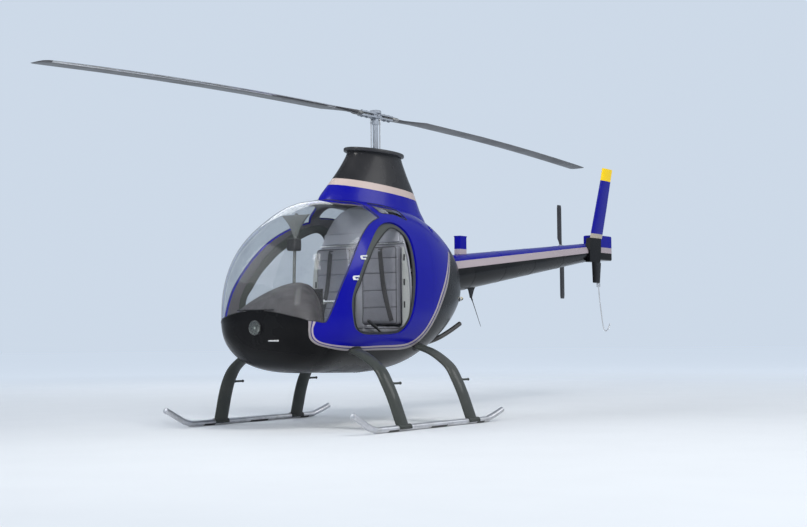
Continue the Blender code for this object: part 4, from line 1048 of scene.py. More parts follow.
def make_fastener_tree():
    """Rows of small domed heads: edges become curves, heads stand on them along "outward"."""
    tree = bpy.data.node_groups.new("fastener_rows", "GeometryNodeTree")
    kinds = {"Rows": "Geometry", "Spacing": "Float", "Radius": "Float", "Height": "Float",
             "Finish": "Material"}
    sockets = {name: tree.interface.new_socket(name, in_out="INPUT", socket_type=f"NodeSocket{kind}")
               for name, kind in kinds.items()}
    tree.interface.new_socket("Heads", in_out="OUTPUT", socket_type="NodeSocketGeometry")
    given = node(tree, "NodeGroupInput").outputs

    def step(kind, values, **settings):
        return node(tree, kind, values, **settings).outputs[0]

    curves = step("GeometryNodeMeshToCurve", {"Mesh": given["Rows"]})
    spaced = step("GeometryNodeResampleCurve", {"Curve": curves, "Length": given["Spacing"]},
                  mode="LENGTH")
    outward = step("GeometryNodeInputNamedAttribute", {"Name": "outward"}, data_type="FLOAT_VECTOR")
    rotation = step("FunctionNodeAlignRotationToVector", {"Vector": outward}, axis="Z")
    top = math_node(tree, "MULTIPLY", given["Radius"], 0.6)
    head = step("GeometryNodeMeshCone", {"Vertices": 8, "Radius Top": top, "Radius Bottom": given["Radius"],
                                         "Depth": given["Height"]}, fill_type="NGON")
    placed = step("GeometryNodeInstanceOnPoints", {"Points": spaced, "Instance": head,
                                                   "Rotation": rotation})
    real = step("GeometryNodeRealizeInstances", {"Geometry": placed})
    painted = step("GeometryNodeSetMaterial", {"Geometry": real, "Material": given["Finish"]})
    node(tree, "NodeGroupOutput", {"Heads": painted})
    return tree, sockets


def make_fasteners():
    """One mesh of heads for each kind and body."""
    tree, sockets = make_fastener_tree()
    for (kind, body), rows in ROWS.items():
        *sizes, finish = FASTENERS[kind]
        points, edges, outward = [], [], []
        for row in rows:
            first = len(points)
            points += [place for place, _ in row]
            outward += [tuple(way) for _, way in row]
            edges += [(k, k + 1) for k in range(first, len(points) - 1)]
        guide = from_lists(f"{kind}_rows", points, [], edges)
        attribute = guide.data.attributes.new("outward", "FLOAT_VECTOR", "POINT")
        attribute.data.foreach_set("vector", np.array(outward, np.float32).ravel())
        modifier = guide.modifiers.new("rows", "NODES")
        modifier.node_group = tree
        for name, value in zip(("Spacing", "Radius", "Height", "Finish"), (*sizes, FINISHES[finish])):
            modifier[sockets[name].identifier] = value
        heads = evaluated_mesh(guide)
        bpy.data.objects.remove(guide, do_unlink=True)
        dress(new_object(f"{kind}_{body}", heads), finish, body)


# Mast fairing, boom and tail

def ring_at(half_width, half_length, middle, z):
    return [(half_width * c, middle + half_length * s, z) for c, s in circle(FAIRING_SIDES)]


# The fairing's cap: (height above the fairing, how far it stands out)
CAP_LIP = ((0.0003, 0.010), (0.004, 0.024), (0.009, 0.029), (0.019, 0.030), (0.029, 0.029),
           (0.034, 0.025), (0.037, 0.018), (0.038, 0.008))
CAP_BORE = 0.054
FAIRING_RIVETS_Z = 2.310


def make_fairing():
    """The mast fairing, open at its foot and top, its lipped cap, and the mast's base."""
    rows = [FAIRING_FOOT] + smooth_points(FAIRING_RINGS)
    outer = [ring_at(half, length, middle, z) for z, half, length, middle in rows]
    inner = [ring_at(half - FAIRING_WALL, length - FAIRING_WALL, middle, z)
             for z, half, length, middle in reversed(rows)]
    fairing = loft("mast_fairing_skin", outer + inner, loop=True)
    cut(fairing, body_solid("roof", FIT_GAP))
    dress(fairing, "fairing_gloss", replaces=("mast_fairing",))
    top_z, half, length, middle = FAIRING_RINGS[-1]
    rings = [ring_at(half + lip, length + lip, middle, top_z + height) for height, lip in CAP_LIP]
    rings += [ring_at(CAP_BORE, CAP_BORE, 0.0, top_z + CAP_LIP[end][0]) for end in (-1, 0)]
    dress(loft("fairing_cap", rings, loop=True), "charcoal_satin", replaces=("mast_fairing_cap",))
    repaint("mast_base", "cast_alloy")
    heights, *columns = zip(*FAIRING_RINGS)
    half, length, middle = (float(np.interp(FAIRING_RIVETS_Z, heights, column)) for column in columns)
    row = [(Vector(p), Vector((p[0] / half ** 2, (p[1] - middle) / length ** 2, 0)).normalized())
           for p in ring_at(half, length, middle, FAIRING_RIVETS_Z)]
    add_row("fairing_rivets", row + row[:1])


def boom_point(station, way, lift=0.0):
    """(place, outward) on the boom's skin, on the side that way, as (x, z), points to."""
    share = (station - BOOM_FRONT[0]) / (BOOM_REAR[0] - BOOM_FRONT[0])
    z, radius = (front + (rear - front) * share for front, rear in zip(BOOM_FRONT[1:], BOOM_REAR[1:]))
    outward = Vector((way[0], 0.0, way[1]))
    return Vector((0, station, z)) + outward * (radius + lift), outward


# Where one skin of the boom laps over the next, and how: (distance aft, lift)
BOOM_LAPS = (0.83, 1.40, 2.02, 2.66, 3.32, 3.96)
LAP_PROFILE = ((-0.0005, 0.0), (0.0005, 0.0012), (0.030, 0.0012), (0.031, 0.0))


def make_boom():
    """The tapered boom with its lapped skins and their rivets."""
    profile = [(lap + step, lift) for lap in BOOM_LAPS for step, lift in LAP_PROFILE]
    profile = [(BOOM_FRONT[0], 0.0), *profile, (BOOM_REAR[0], 0.0)]
    ways = circle(BOOM_SIDES, 0.5)
    rings = [[boom_point(station, way, lift)[0] for way in ways] for station, lift in profile]
    dress(loft("boom_skin", rings), "boom_gloss", replaces=("tail_boom",))
    for lap in BOOM_LAPS:
        row = [boom_point(lap + 0.015, way, LAP_PROFILE[1][1]) for way in ways]
        add_row("boom_rivets", row + row[:1])
    for angle in (-math.pi / 2 - 0.25, -math.pi / 2 + 0.25):
        way = (math.cos(angle), math.sin(angle))
        add_row("boom_rivets", [boom_point(station, way) for station in np.arange(1.14, 4.19, 0.05)])


def make_boom_fittings():
    """The drive's box on the boom, the whip aerial, the tail's end housing and the fin plate."""
    low, high = box_of("boom_top_housing")
    shell = box("boom_box", low, high - UP * 0.004, 0.008)
    lid = box("boom_box_lid", Vector((low.x - 0.002, low.y - 0.002, high.z - 0.012)),
              Vector((high.x + 0.002, high.y + 0.002, high.z)), 0.003)
    boxes = join_meshes("boom_box_shell", [shell, lid])
    dress(boxes, "boom_box_gloss", replaces=("boom_top_housing",))
    gusset = ((1.480, 1.250), (1.720, 1.280), (1.640, 1.180), (1.605, 1.105), (1.590, 1.105),
              (1.560, 1.180))
    aerial = [prism("gusset", gusset, -0.008, 0.008),
              sweep("whip", ((0, 1.598, 1.120), (0, 1.690, 0.972), (0, 1.775, 0.830)),
                    [(0.0045, 0.0045), (0.0032, 0.0032), (0.0022, 0.0022)], sides=12, dome=0.002),
              rod("whip_root", (0, 1.592, 1.128), (0, 1.622, 1.082), 0.0075)]
    dress(join_meshes("whip_aerial", aerial), "charcoal_satin", replaces=("whip_antenna",))
    low, high = box_of("tail_end_housing")
    dress(box("tail_end_box", low, high, 0.016, 5), "housing_gloss", replaces=("tail_end_housing",))
    band = box("tail_end_band", Vector((low.x - 0.0015, low.y + 0.05, low.z + 0.02)),
               Vector((high.x + 0.0015, low.y + 0.075, high.z - 0.02)), 0.0008, 1)
    dress(band, "housing_gloss")
    repaint("fin_plate", "black_gloss")
    low, high = box_of("fin_plate")
    for station in (low.y + 0.02, high.y - 0.03):
        add_row("black_rivets", [(Vector((high.x, station, z)), PORT)
                                 for z in np.arange(low.z + 0.02, high.z - 0.01, 0.02)])


def aerofoil(count=10):
    """(share of the chord, share of the half thickness) round a section, nose first."""
    shares = [0.5 * (1 - math.cos(math.pi * k / count)) for k in range(count + 1)]
    heights = [2.969 * math.sqrt(s) - 1.26 * s - 3.516 * s ** 2 + 2.843 * s ** 3 - 1.015 * s ** 4
               for s in shares]
    top = max(heights)
    upper = [(s, max(h / top, 0.04 if s > 0.9 else 0.0)) for s, h in zip(shares, heights)]
    return upper + [(s, -h) for s, h in reversed(upper[1:])]


SECTION = aerofoil()


def foil(front, rear, half, place, thin=1.0, shave=0.0):
    """A section from its front edge to its rear edge. place turns (distance, height) into a point."""
    return [place(front + shave + (rear - front - 2 * shave) * share, half * off * thin)
            for share, off in SECTION]


# How a fin's end is rounded: (share of its thickness, length taken off each edge, reach)
FIN_END = ((1.0, 0.0, 0.0), (0.96, 0.001, 0.006), (0.7, 0.006, 0.0105), (0.3, 0.016, 0.012))
STABILIZER_END = ((1.0, 0.0, 0.0), (0.94, 0.001, 0.006), (0.7, 0.006, 0.0105), (0.3, 0.016, 0.012))
END_DEPTH = 0.012


def fin_ring(z, front, rear, thin=1.0, shave=0.0):
    return foil(front, rear, FIN_HALF_THICKNESS, lambda y, t: (FIN_X + t, y, z), thin, shave)


def make_fins():
    for name, finish, way in (("upper_fin", "fin_gloss", 0), ("upper_fin_tip", "yellow_gloss", 1),
                              ("lower_fin", "black_gloss", -1)):
        rows = FINS[name]
        rings = [fin_ring(*row) for row in rows]
        if way:
            z, front, rear = rows[-1] if way > 0 else rows[0]
            end = [fin_ring(z + way * (reach - END_DEPTH), front, rear, thin, shave)
                   for thin, shave, reach in FIN_END]
            rings = rings[:-1] + end if way > 0 else end[::-1] + rings[1:]
        dress(loft(f"{name}_skin", rings), finish, replaces=(name,))
    (root_x, root_front, root_rear, root_z), (tip_x, tip_front, tip_rear, tip_z) = STABILIZER_SECTIONS
    rings = [foil(root_front, root_rear, STABILIZER_HALF_THICKNESS, lambda y, t: (root_x, y, root_z + t))]
    for thin, shave, reach in STABILIZER_END:
        rings.append(foil(tip_front, tip_rear, STABILIZER_HALF_THICKNESS,
                          lambda y, t: (tip_x + END_DEPTH - reach, y, tip_z + t), thin, shave))
    dress(loft("stabilizer_skin", rings), "blue_gloss", replaces=("stabilizer",))
    for x in (-0.12, -0.40, -0.68):
        share = (x - root_x) / (tip_x - root_x)
        front = root_front + (tip_front - root_front) * share
        z = root_z + (tip_z - root_z) * share
        for way in (1, -1):
            row = [(Vector((x, front + 0.02 + 0.22 * s, z + way * STABILIZER_HALF_THICKNESS
                            * (1.0 - 0.55 * s * s))), UP * way) for s in np.linspace(0, 1, 8)]
            add_row("blue_rivets", row)


def make_tail_skid():
    fin_z = box_of("lower_fin")[0].z
    line = [(FIN_X, y, z) for y, z in smooth_points(TAIL_SKID_LINE, 6)]
    pieces = [sweep("wire", line, TAIL_SKID_RADIUS, sides=16, up=PORT, dome=0.006),
              box("clevis", (FIN_X - 0.009, 4.133, 1.270), (FIN_X + 0.009, 4.200, fin_z - 0.0003), 0.004),
              rod("pin", (FIN_X - 0.014, 4.165, 1.285), (FIN_X + 0.014, 4.165, 1.285), 0.005)]
    dress(join_meshes("tail_skid_wire", pieces), "bright_metal", replaces=("tail_skid",))


# Landing gear

def leaning(station, z):
    return station - LEG_LEAN * min(1.0, z / LEG_LEAN_Z)


def make_leg(name, sign, station):
    """A bowed leg, cut to the belly above and to its skid tube below, and the line that it follows."""
    path = [(sign * x, leaning(station, z), z) for x, z in smooth_points(LEG_LINE, 5)]
    leg = sweep(name, path, LEG_HALF_SIZES, sides=32, up=AFT)
    cut(leg, body_solid("belly", FIT_GAP))
    front, rear = ((sign * SKID_X, station + reach, SKID_Z) for reach in (-0.2, 0.2))
    cut(leg, rod("tube", front, rear, SKID_TUBE + 0.0006, 32))
    return leg, path


def belly_boot(name, path):
    """The dark collar where a leg goes into the belly."""
    path = [Vector(point) for point in path]
    crossing = next(k for k, point in enumerate(path)
                    if SKIN_TREE.ray_cast(point, -UP)[0] is None)
    along = (path[crossing + 1] - path[crossing - 1]).normalized()
    across = along.cross(AFT).normalized()
    upward = across.cross(along)
    wide, tall = (size + 0.006 for size in LEG_HALF_SIZES)
    loop = []
    for c, s in circle(48):
        point = path[crossing] + across * wide * c + upward * tall * s
        hit = SKIN_TREE.ray_cast(point + along * 0.25, -along)[0]
        loop.append(point if hit is None else hit)
    return sweep(name, loop, (0.010, 0.007), sides=10, up=along, closed=True)


PEG_PROFILE = ((0, 0.011), (0.090, 0.011), (0.094, 0.009), (0.178, 0.009), (0.182, 0.012),
               (0.188, 0.012), (PEG_LENGTH, 0.010))
# From which station to which each wear shoe reaches
SHOE_SPANS = ((-1.22, -1.08), (-0.62, -0.38), (0.09, 0.21))


def make_landing_gear():
    """Skid tubes with wear shoes, and four bowed legs with collars, saddles and pegs."""
    for side, sign in SIDES.items():
        path = [(sign * SKID_X, y, SKID_Z + z) for y, z in smooth_points(SKID_LINE, 6)]
        tube = sweep(f"skid_tube_{side}", path, SKID_TUBE, sides=32, up=PORT, dome=0.006)
        dress(tube, "skid_metal", replaces=(f"skid_{side}",))
        shoes = [tube_wrap(sign, span, (SHOE_RADIUS, SKID_TUBE), (200, 340, 15)) for span in SHOE_SPANS]
        dress(join_meshes(f"skid_shoes_{side}", shoes), "dark_steel")
        for end, station in LEG_STATIONS.items():
            leg, line = make_leg(f"{end}_strut_{side}", sign, station)
            dress(leg, "leg_satin", replaces=(f"{end}_leg_{side}",))
            dress(belly_boot(f"{end}_boot_{side}", line), "black_rubber")
            clamp = [tube_wrap(sign, (station - 0.085, station + 0.085),
                               (SKID_TUBE + 0.005, SKID_TUBE + 0.0005), (-20, 200, 25))]
            for y in (station - 0.065, station + 0.065):
                for way in (1, -1):
                    start = Vector((sign * SKID_X + way * (SKID_TUBE + 0.002), y, SKID_Z + 0.002))
                    clamp.append(rod("bolt", start, start + PORT * way * 0.009, 0.006, 6, 0.2))
            dress(join_meshes(f"{end}_saddle_{side}", clamp), "leg_satin")
            x, z = PEG_PLACE
            peg = revolve(f"{end}_peg_{side}", PEG_PROFILE, (sign * x, leaning(station, z), z), AFT, 24)
            dress(peg, "leg_satin")


def tube_wrap(sign, span, radii, degrees):
    """A plate bent round a skid tube: its two stations, its two radii, and its angles."""
    angles = np.radians(np.linspace(*degrees))
    return loft("wrap", [[(sign * SKID_X + radius * math.cos(a), y, SKID_Z + radius * math.sin(a))
                          for radius, around in zip(radii, (angles, angles[::-1])) for a in around]
                         for y in span])


# Cabin

# The console's sections: station, half width, lowest and highest z
CONSOLE_SECTIONS = ((-1.620, 0.300, 0.700, 0.905), (-1.540, 0.420, 0.620, 0.990),
                    (-1.400, 0.430, 0.560, 1.090), (-1.250, 0.350, 0.5353, 1.160),
                    (-1.120, 0.250, 0.5353, 1.185), (-1.050, 0.215, 0.5353, 1.170))


def console_arch(y, half_width, low, high, angles):
    return [(half_width * math.cos(a), y, low + (high - low) * (0.45 + 0.55 * math.sin(a))) for a in angles]


def make_console():
    """The arched console under the windshield, with its glareshield lip."""
    rings = []
    for y, half_width, low, high in smooth_points(CONSOLE_SECTIONS, 6):
        arch = console_arch(y, half_width, low, high, [math.pi * k / 40 for k in range(41)])
        rings.append([(half_width, y, low)] + arch + [(-half_width, y, low)])
    console = loft("console_shell", rings)
    combine(console, inner_space(), "INTERSECT")
    dress(console, "console_vinyl", replaces=("instrument_console",))
    arch = console_arch(*CONSOLE_SECTIONS[-1], [math.pi * (k + 2) / 44 for k in range(41)])
    arch = [(x, y - 0.004, z + 0.002) for x, y, z in arch]
    dress(sweep("glareshield_lip", arch, (0.006, 0.010), sides=12, up=AFT, dome=0.004), "black_rubber")


INNER_GAP = 0.008


def inner_space():
    """The room inside the pod's wall, for cutting what is fitted against the wall."""
    return body_solid("space", -WALL - INNER_GAP)


# A dial's turned parts: (distance aft, share of the dial's radius)
DIAL_PARTS = {
    "dial_bezels": ((0, 1.0), (0.006, 1.0), (0.009, 0.94), (0.009, 0.86), (0.003, 0.84)),
    "dial_faces": ((0.0030, 0.0), (0.0030, 0.84), (0.0036, 0.84), (0.0036, 0.0)),
    "dial_glass": ((0.0070, 0.0), (0.0070, 0.85), (0.0080, 0.85), (0.0085, 0.0)),
}
# A dial's ticks and its hand: distance aft, then start, length and radius as shares of the dial's
TICK = (0.0042, 0.64, 0.15, 0.022)
HAND = (0.0050, -0.15, 0.75, 0.03)


DIALS = (
    # x, z, radius, the hand's angle in degrees
    (-0.118, 1.030, 0.040, 140), (0.000, 1.062, 0.040, 60), (0.118, 1.030, 0.040, 200),
    (-0.118, 0.935, 0.040, 320), (0.000, 0.965, 0.040, 100), (0.118, 0.935, 0.040, 20),
    (-0.060, 0.862, 0.026, 240), (0.060, 0.862, 0.026, 300),
)


def make_instruments():
    """The panel's dials, each with a bezel, a face, ticks, a hand and its glass, and the switches."""
    repaint("instrument_panel", "panel_crackle")
    face_y = box_of("instrument_panel")[1].y
    parts = {name: [] for name in DIAL_PARTS}
    marks = []
    for x, z, radius, angle in DIALS:
        centre = Vector((x, face_y, z))
        for name, profile in DIAL_PARTS.items():
            profile = [(depth, radius * share) for depth, share in profile]
            parts[name].append(revolve(name, profile, centre, AFT, 40))
        for turn, (depth, start, length, thick) in [(30 * k, TICK) for k in range(12)] + [(angle, HAND)]:
            way = Vector((math.sin(math.radians(turn)), 0, math.cos(math.radians(turn))))
            root = centre + AFT * depth + way * radius * start
            marks.append(rod("mark", root, root + way * radius * length, radius * thick, 6))
    dress(join_meshes("dial_bezels", parts["dial_bezels"]), "trim_plastic")
    dress(join_meshes("dial_faces", parts["dial_faces"]), "dial_black")
    dress(join_meshes("dial_marks", marks), "white_gloss")
    dress(join_meshes("dial_glass", parts["dial_glass"]), "window_clear")
    switches = []
    for k in range(6):
        base = Vector((-0.125 + 0.05 * k, face_y, 0.775))
        switches.append(rod("nut", base, base + AFT * 0.004, 0.008, 6))
        switches.append(rod("lever", base, base + Vector((0, 0.022, 0.010)), 0.003, 10))
    for x in (-0.10, 0.10):
        switches.append(revolve("knob", ((0, 0.014), (0.012, 0.013), (0.015, 0.010), (0.016, 0.0)),
                                (x, face_y, 0.710), AFT, 20))
    dress(join_meshes("panel_switches", switches), "bright_metal")


def make_compass_post():
    """The post in the windshield's middle, its flared bracket, and the compass on it."""
    post = sweep("post", smooth_points(((0, -1.170, 1.100), (0, -1.160, 1.400), (0, -1.130, 1.745)), 8),
                 (0.011, 0.016), sides=20, up=AFT)
    line = ((-0.022, 1.560), (0.022, 1.560), (0.040, 1.610), (0.070, 1.660), (0.105, 1.700),
            (0.140, 1.732), (-0.140, 1.732), (-0.105, 1.700), (-0.070, 1.660), (-0.040, 1.610))
    bracket = prism("bracket", line, -1.150, -1.134, axis="y")
    dress(join_meshes("windshield_post", [post, bracket]), "post_satin", replaces=("compass_post",))
    case = box("case", (-0.045, -1.213, 1.440), (0.045, -1.120, 1.540), 0.014, 4)
    bowl = revolve("bowl", ((0, 0.034), (0.010, 0.034), (0.014, 0.030)), (0, -1.124, 1.490), AFT, 32)
    dress(join_meshes("compass_case", [case, bowl]), "black_rubber")
    lens = revolve("compass_lens", ((0, 0.028), (0.004, 0.026), (0.007, 0.016), (0.008, 0.0)),
                   (0, -1.112, 1.490), AFT, 32)
    dress(lens, "window_clear")


def make_controls():
    """The centre stick with its swinging bar and two grips, the two levers, and four pedals."""
    line = smooth_points(((0, -0.858, 0.5353), (0, -0.875, 0.700), (0, -0.850, 0.900), (0, -0.800, 1.040)), 8)
    pieces = [sweep("stick", line, 0.014, sides=20, up=PORT, dome=0.006),
              rod("bar", (-0.290, -0.802, 1.030), (0.290, -0.802, 1.030), 0.011),
              rod("pivot", (-0.030, -0.802, 1.030), (0.030, -0.802, 1.030), 0.020, 32),
              revolve("boot", ((0, 0.050), (0.010, 0.046), (0.016, 0.036), (0.026, 0.040), (0.032, 0.028),
                               (0.042, 0.031), (0.050, 0.018), (0.052, 0.0)), (0, -0.858, 0.5353),
                      UP, 32)]
    dress(join_meshes("centre_stick", pieces), "bright_metal", replaces=("cyclic_control",))
    grips = []
    for sign in SIDES.values():
        x = sign * 0.280
        grips.append(revolve("grip", ((0, 0.013), (0.004, 0.017), (0.030, 0.0155), (0.045, 0.0175),
                                      (0.060, 0.0155), (0.075, 0.0175), (0.090, 0.0155), (0.112, 0.017),
                                      (0.124, 0.0175), (0.130, 0.014), (0.131, 0.0)),
                             (x, -0.802, 0.930), (0, -0.013, 0.130), 24))
        grips.append(rod("button", (x, -0.822, 1.045), (x, -0.836, 1.046), 0.005, 16))
    dress(join_meshes("stick_grips", grips), "black_rubber")
    lever_line = ((-0.420, 0.685), (-0.520, 0.725), (-0.660, 0.810), (-0.780, 0.870))
    for side, (seat_x, x) in {"port": (0.438, 0.458), "starboard": (-0.045, -0.022)}.items():
        path = [(x, y, z) for y, z in smooth_points(lever_line, 6)]
        lever = [sweep("lever", path, 0.0095, sides=16, up=PORT, dome=0.004),
                 rod("pivot", (seat_x + 0.0003, *lever_line[0]), (x, *lever_line[0]), 0.016)]
        dress(join_meshes(f"power_lever_{side}", lever), "dark_steel", replaces=(f"collective_lever_{side}",))
        start, end = Vector(path[-7]), Vector(path[-1])
        grip = revolve(f"power_grip_{side}", [(k * 0.0125, 0.0125 + 0.0015 * (k % 2)) for k in range(11)]
                       + [(0.136, 0.009), (0.138, 0.0)], start, end - start, 20)
        dress(grip, "black_rubber")
    pedals = []
    for sign in SIDES.values():
        for x in (0.165, 0.285):
            place = Vector((sign * x, -1.235, 0.640))
            pad = box("pad", place - Vector((0.036, 0.008, 0.050)), place + Vector((0.036, 0.004, 0.050)),
                      0.005)
            stem = sweep("stem", (place + Vector((0, -0.006, -0.02)),
                                  place + Vector((0, -0.03, -0.06)), place + Vector((0, -0.05, -0.104))),
                         0.008, sides=12, up=PORT)
            pedals += [pad, stem]
    dress(join_meshes("foot_pedals", pedals), "dark_steel")


SIM_FRAMES = 20
VOXEL = 0.006
SWELL = 0.010
CLOTH_SETTINGS = {"quality": 5, "mass": 0.2, "tension_stiffness": 25, "compression_stiffness": 25,
                  "shear_stiffness": 12, "bending_stiffness": 1.5, "use_pressure": True,
                  "uniform_pressure_force": 4.0}


def blow_up(pad):
    """Fills a cushion's cover with pressure, as cloth, and lets it swell by SWELL at most."""
    before = vertex_array(pad)
    cloth = pad.modifiers.new("cloth", "CLOTH")
    for name, value in CLOTH_SETTINGS.items():
        setattr(cloth.settings, name, value)
    cloth.settings.effector_weights.gravity = 0.0
    cloth.collision_settings.use_collision = False
    cloth.point_cache.frame_start = 1
    cloth.point_cache.frame_end = SIM_FRAMES
    scene = bpy.context.scene
    for number in range(1, SIM_FRAMES + 1):
        scene.frame_set(number)
    apply_modifiers(pad)
    scene.frame_set(1)
    way = vertex_array(pad) - before
    length = np.linalg.norm(way, axis=1, keepdims=True)
    set_corners(pad, before + way * np.minimum(1.0, SWELL / np.maximum(length, 1e-9)))


def swollen(name, low, high, radius):
    """A cushion's cover, made a little smaller than its solid and then blown up."""
    margin = Vector((0.006, 0.008, 0.008))
    pad = box(name, Vector(low) + margin, Vector(high) - margin, radius, 4)
    remesh = pad.modifiers.new("remesh", "REMESH")
    remesh.mode = "VOXEL"
    remesh.voxel_size = VOXEL
    apply_modifiers(pad)
    blow_up(pad)
    return pad


def vertex_array(obj, key="co"):
    values = np.empty(len(obj.data.vertices) * 3)
    obj.data.vertices.foreach_get(key, values)
    return values.reshape(-1, 3)


def apply_modifiers(obj):
    mesh = evaluated_mesh(obj)
    obj.modifiers.clear()
    obj.data = mesh


def set_corners(obj, values):
    obj.data.vertices.foreach_set("co", np.asarray(values, np.float32).ravel())
    obj.data.update()


def sew(obj, axis, places, facing, depth=0.007, width=0.0045):
    """Sewn channels: the cover is drawn in along lines at given places on an axis, on the faces that look one
    way, and the seam attribute holds painted shade in each crease, darkest where the cover is drawn in
    deepest."""
    points, normals = vertex_array(obj), vertex_array(obj, "normal")
    nearness = np.exp(-((points[:, axis, None] - np.array(places)) / width) ** 2).max(1)
    pull = nearness * np.clip(normals @ np.array(facing) * 2.0, 0.0, 1.0)
    set_corners(obj, points - normals * (pull * depth)[:, None])
    # Painted shade in the creases, as strong as the cover is drawn in
    attribute = obj.data.attributes.new("seam", "FLOAT", "POINT")
    attribute.data.foreach_set("value", np.clip(pull ** 3, 0, 1).astype(np.float32) * 0.8)


MIRROR = Matrix.Scale(-1, 4, PORT)


def make_seats():
    """Two seats: boxes that stay, padded cushions and backs with sewn channels, piping and belts."""
    for side in SIDES:
        repaint(f"seat_box_{side}", "trim_plastic")
    for part, axis, channels, facing, radius, rear_gap, floor_gap, add_belt in (
            ("seat_back", 2, BACK_CHANNELS, -AFT, 0.024, 0.0005, 0.0015, make_shoulder_belt),
            ("seat_cushion", 1, CUSHION_CHANNELS, UP, 0.026, 0.001, 0.0003, make_lap_belt)):
        low, high = box_of(f"{part}_port")
        pad = swollen(f"{part}_pad_port", low, high, radius)
        limits = vertex_array(pad)
        limits[:, 0] = np.clip(limits[:, 0], low.x - 0.002, high.x + 0.002)
        limits[:, 1] = np.minimum(limits[:, 1], high.y - rear_gap)
        limits[:, 2] = np.maximum(limits[:, 2], low.z + floor_gap)
        set_corners(pad, limits)
        finer = pad.modifiers.new("finer", "SUBSURF")
        finer.levels = finer.render_levels = 1
        apply_modifiers(pad)
        for side, obj in (("port", pad), ("starboard", moved_copy(pad, f"{part}_pad_starboard", MIRROR))):
            sew(obj, axis, channels, facing)
            tree = BVHTree.FromPolygons(*points_and_faces(obj))
            make_piping(part, side, obj, tree)
            add_belt(side, tree)
            dress(obj, "seat_vinyl", replaces=(f"{part}_{side}",), smooth=False)
            obj.data.shade_smooth()


def make_piping(part, side, obj, tree):
    """A cord sewn round the front edge of a back, or the top edge of a cushion."""
    points = vertex_array(obj)
    low, high = points.min(0), points.max(0)
    upright = part == "seat_back"
    axis = 2 if upright else 1
    loop = []
    for a, b in rounded_rectangle(low[0] + 0.006, high[0] - 0.006, low[axis] + 0.006, high[axis] - 0.006,
                                  0.03):
        start = (a, low[1] + 0.012, b) if upright else (a, b, high[2] - 0.012)
        place, outward, _, _ = tree.find_nearest(Vector(start))
        loop.append(place + outward * 0.001)
    dress(sweep(f"{part}_piping_{side}", even_points(loop, 0.008, closed=True), 0.0032, sides=8,
                up=AFT if upright else UP, closed=True), "black_rubber")


def rounded_rectangle(a0, a1, b0, b1, radius, steps=6):
    corners = ((a1 - radius, b1 - radius, 0), (a0 + radius, b1 - radius, 90),
               (a0 + radius, b0 + radius, 180), (a1 - radius, b0 + radius, 270))
    found = []
    for a, b, start in corners:
        for k in range(steps + 1):
            angle = math.radians(start + 90 * k / steps)
            found.append((a + radius * math.cos(angle), b + radius * math.sin(angle)))
    return [tuple(point) for point in even_points(found, 0.012, closed=True)]


def strap(name, path, face, width=0.022, thickness=0.0012):
    """Flat webbing along a path. face is the way that it looks."""
    face = Vector(face)
    rings = []
    for k, point in enumerate(path):
        along = (path[min(k + 1, len(path) - 1)] - path[max(k - 1, 0)]).normalized()
        across = along.cross(face).normalized()
        up = across.cross(along)
        rings.append([point + across * x + up * z for x, z in
                      ((-width, -thickness), (width, -thickness), (width, thickness), (-width, thickness))])
    return loft(name, rings)


def draped(tree, line, direction, lift=0.0035):
    """Points laid on a pad along a direction."""
    direction = Vector(direction)
    hits = [tree.ray_cast(point - direction * 0.3, direction) for point in
            even_points(smooth_points(line, 8), 0.012)]
    places = [hit[0] - direction * lift for hit in hits if hit[0] is not None]
    last = len(places) - 1
    # The webbing is stiff: it spans the sewn channels
    return [sum((places[min(max(k + step, 0), last)] for step in range(-3, 4)), Vector()) / 7
            for k in range(last + 1)]


def make_shoulder_belt(side, tree):
    sign = SIDES[side]
    outer = sign * 0.40
    path = draped(tree, ((outer - sign * 0.14, -0.30, 1.50), (outer - sign * 0.10, -0.30, 1.15),
                         (outer - sign * 0.02, -0.30, 0.86)), AFT)
    dress(strap(f"shoulder_belt_{side}", path, -AFT), "belt_webbing")


def make_lap_belt(side, tree):
    sign = SIDES[side]
    inner, outer = sign * 0.075, sign * 0.41
    path = draped(tree, ((inner, -0.36, 0.80), (sign * 0.20, -0.42, 0.82), (sign * 0.30, -0.44, 0.82),
                         (outer, -0.38, 0.80)), (0, 0, -1), 0.0045)
    dress(strap(f"lap_belt_{side}", path, UP, 0.020), "belt_webbing")
    middle = path[len(path) // 2]
    buckle = box(f"belt_buckle_{side}", middle - Vector((0.034, 0.024, 0.002)),
                 middle + Vector((0.034, 0.024, 0.010)), 0.005)
    dress(buckle, "bright_metal")


def make_cabin():
    repaint("cabin_floor", "carpet")
    repaint("seat_bulkhead", "bulkhead_satin")
    make_console()
    make_instruments()
    make_compass_post()
    make_controls()
    make_seats()
    make_bulkhead_trim()
    make_side_panels()


def make_side_panels():
    """Pale trim between each seat back and the cabin wall, with black blocks where the belts' slots open: the
    slots are not cut, and the blocks' black is painted shade in the openings.
    """
    panel = box("seat_side_panel_port", (0.446, -0.262, 0.700), (0.560, -0.240, 1.500), 0.005)
    combine(panel, inner_space(), "INTERSECT")
    # Black blocks stand where the belts' slots would open, as painted shade: no slot is cut into the panel
    slot_shades = join_meshes("belt_slot_shades_port", [
        box("slot", (0.462, -0.2650, z), (0.478, -0.2550, z + 0.055), 0.003) for z in (0.98, 1.17, 1.38)])
    for obj, name, finish in ((panel, "seat_side_panel", "side_vinyl"),
                              (slot_shades, "belt_slot_shades", "black_rubber")):
        dress(moved_copy(obj, f"{name}_starboard", MIRROR), finish)
        dress(obj, finish)


def make_bulkhead_trim():
    """The headrest panel and the rail below it, on the bulkhead."""
    y = box_of("seat_bulkhead")[0].y
    panel = box("headrest_panel", (-0.40, y - 0.018, 1.545), (0.40, y - 0.0005, 1.640), 0.008, 4)
    dress(panel, "bulkhead_satin")
    rail = sweep("bulkhead_rail", ((-0.44, y - 0.010, 1.535), (0.44, y - 0.010, 1.535)), 0.006, sides=12,
                 dome=0.004)
    dress(rail, "bright_metal")


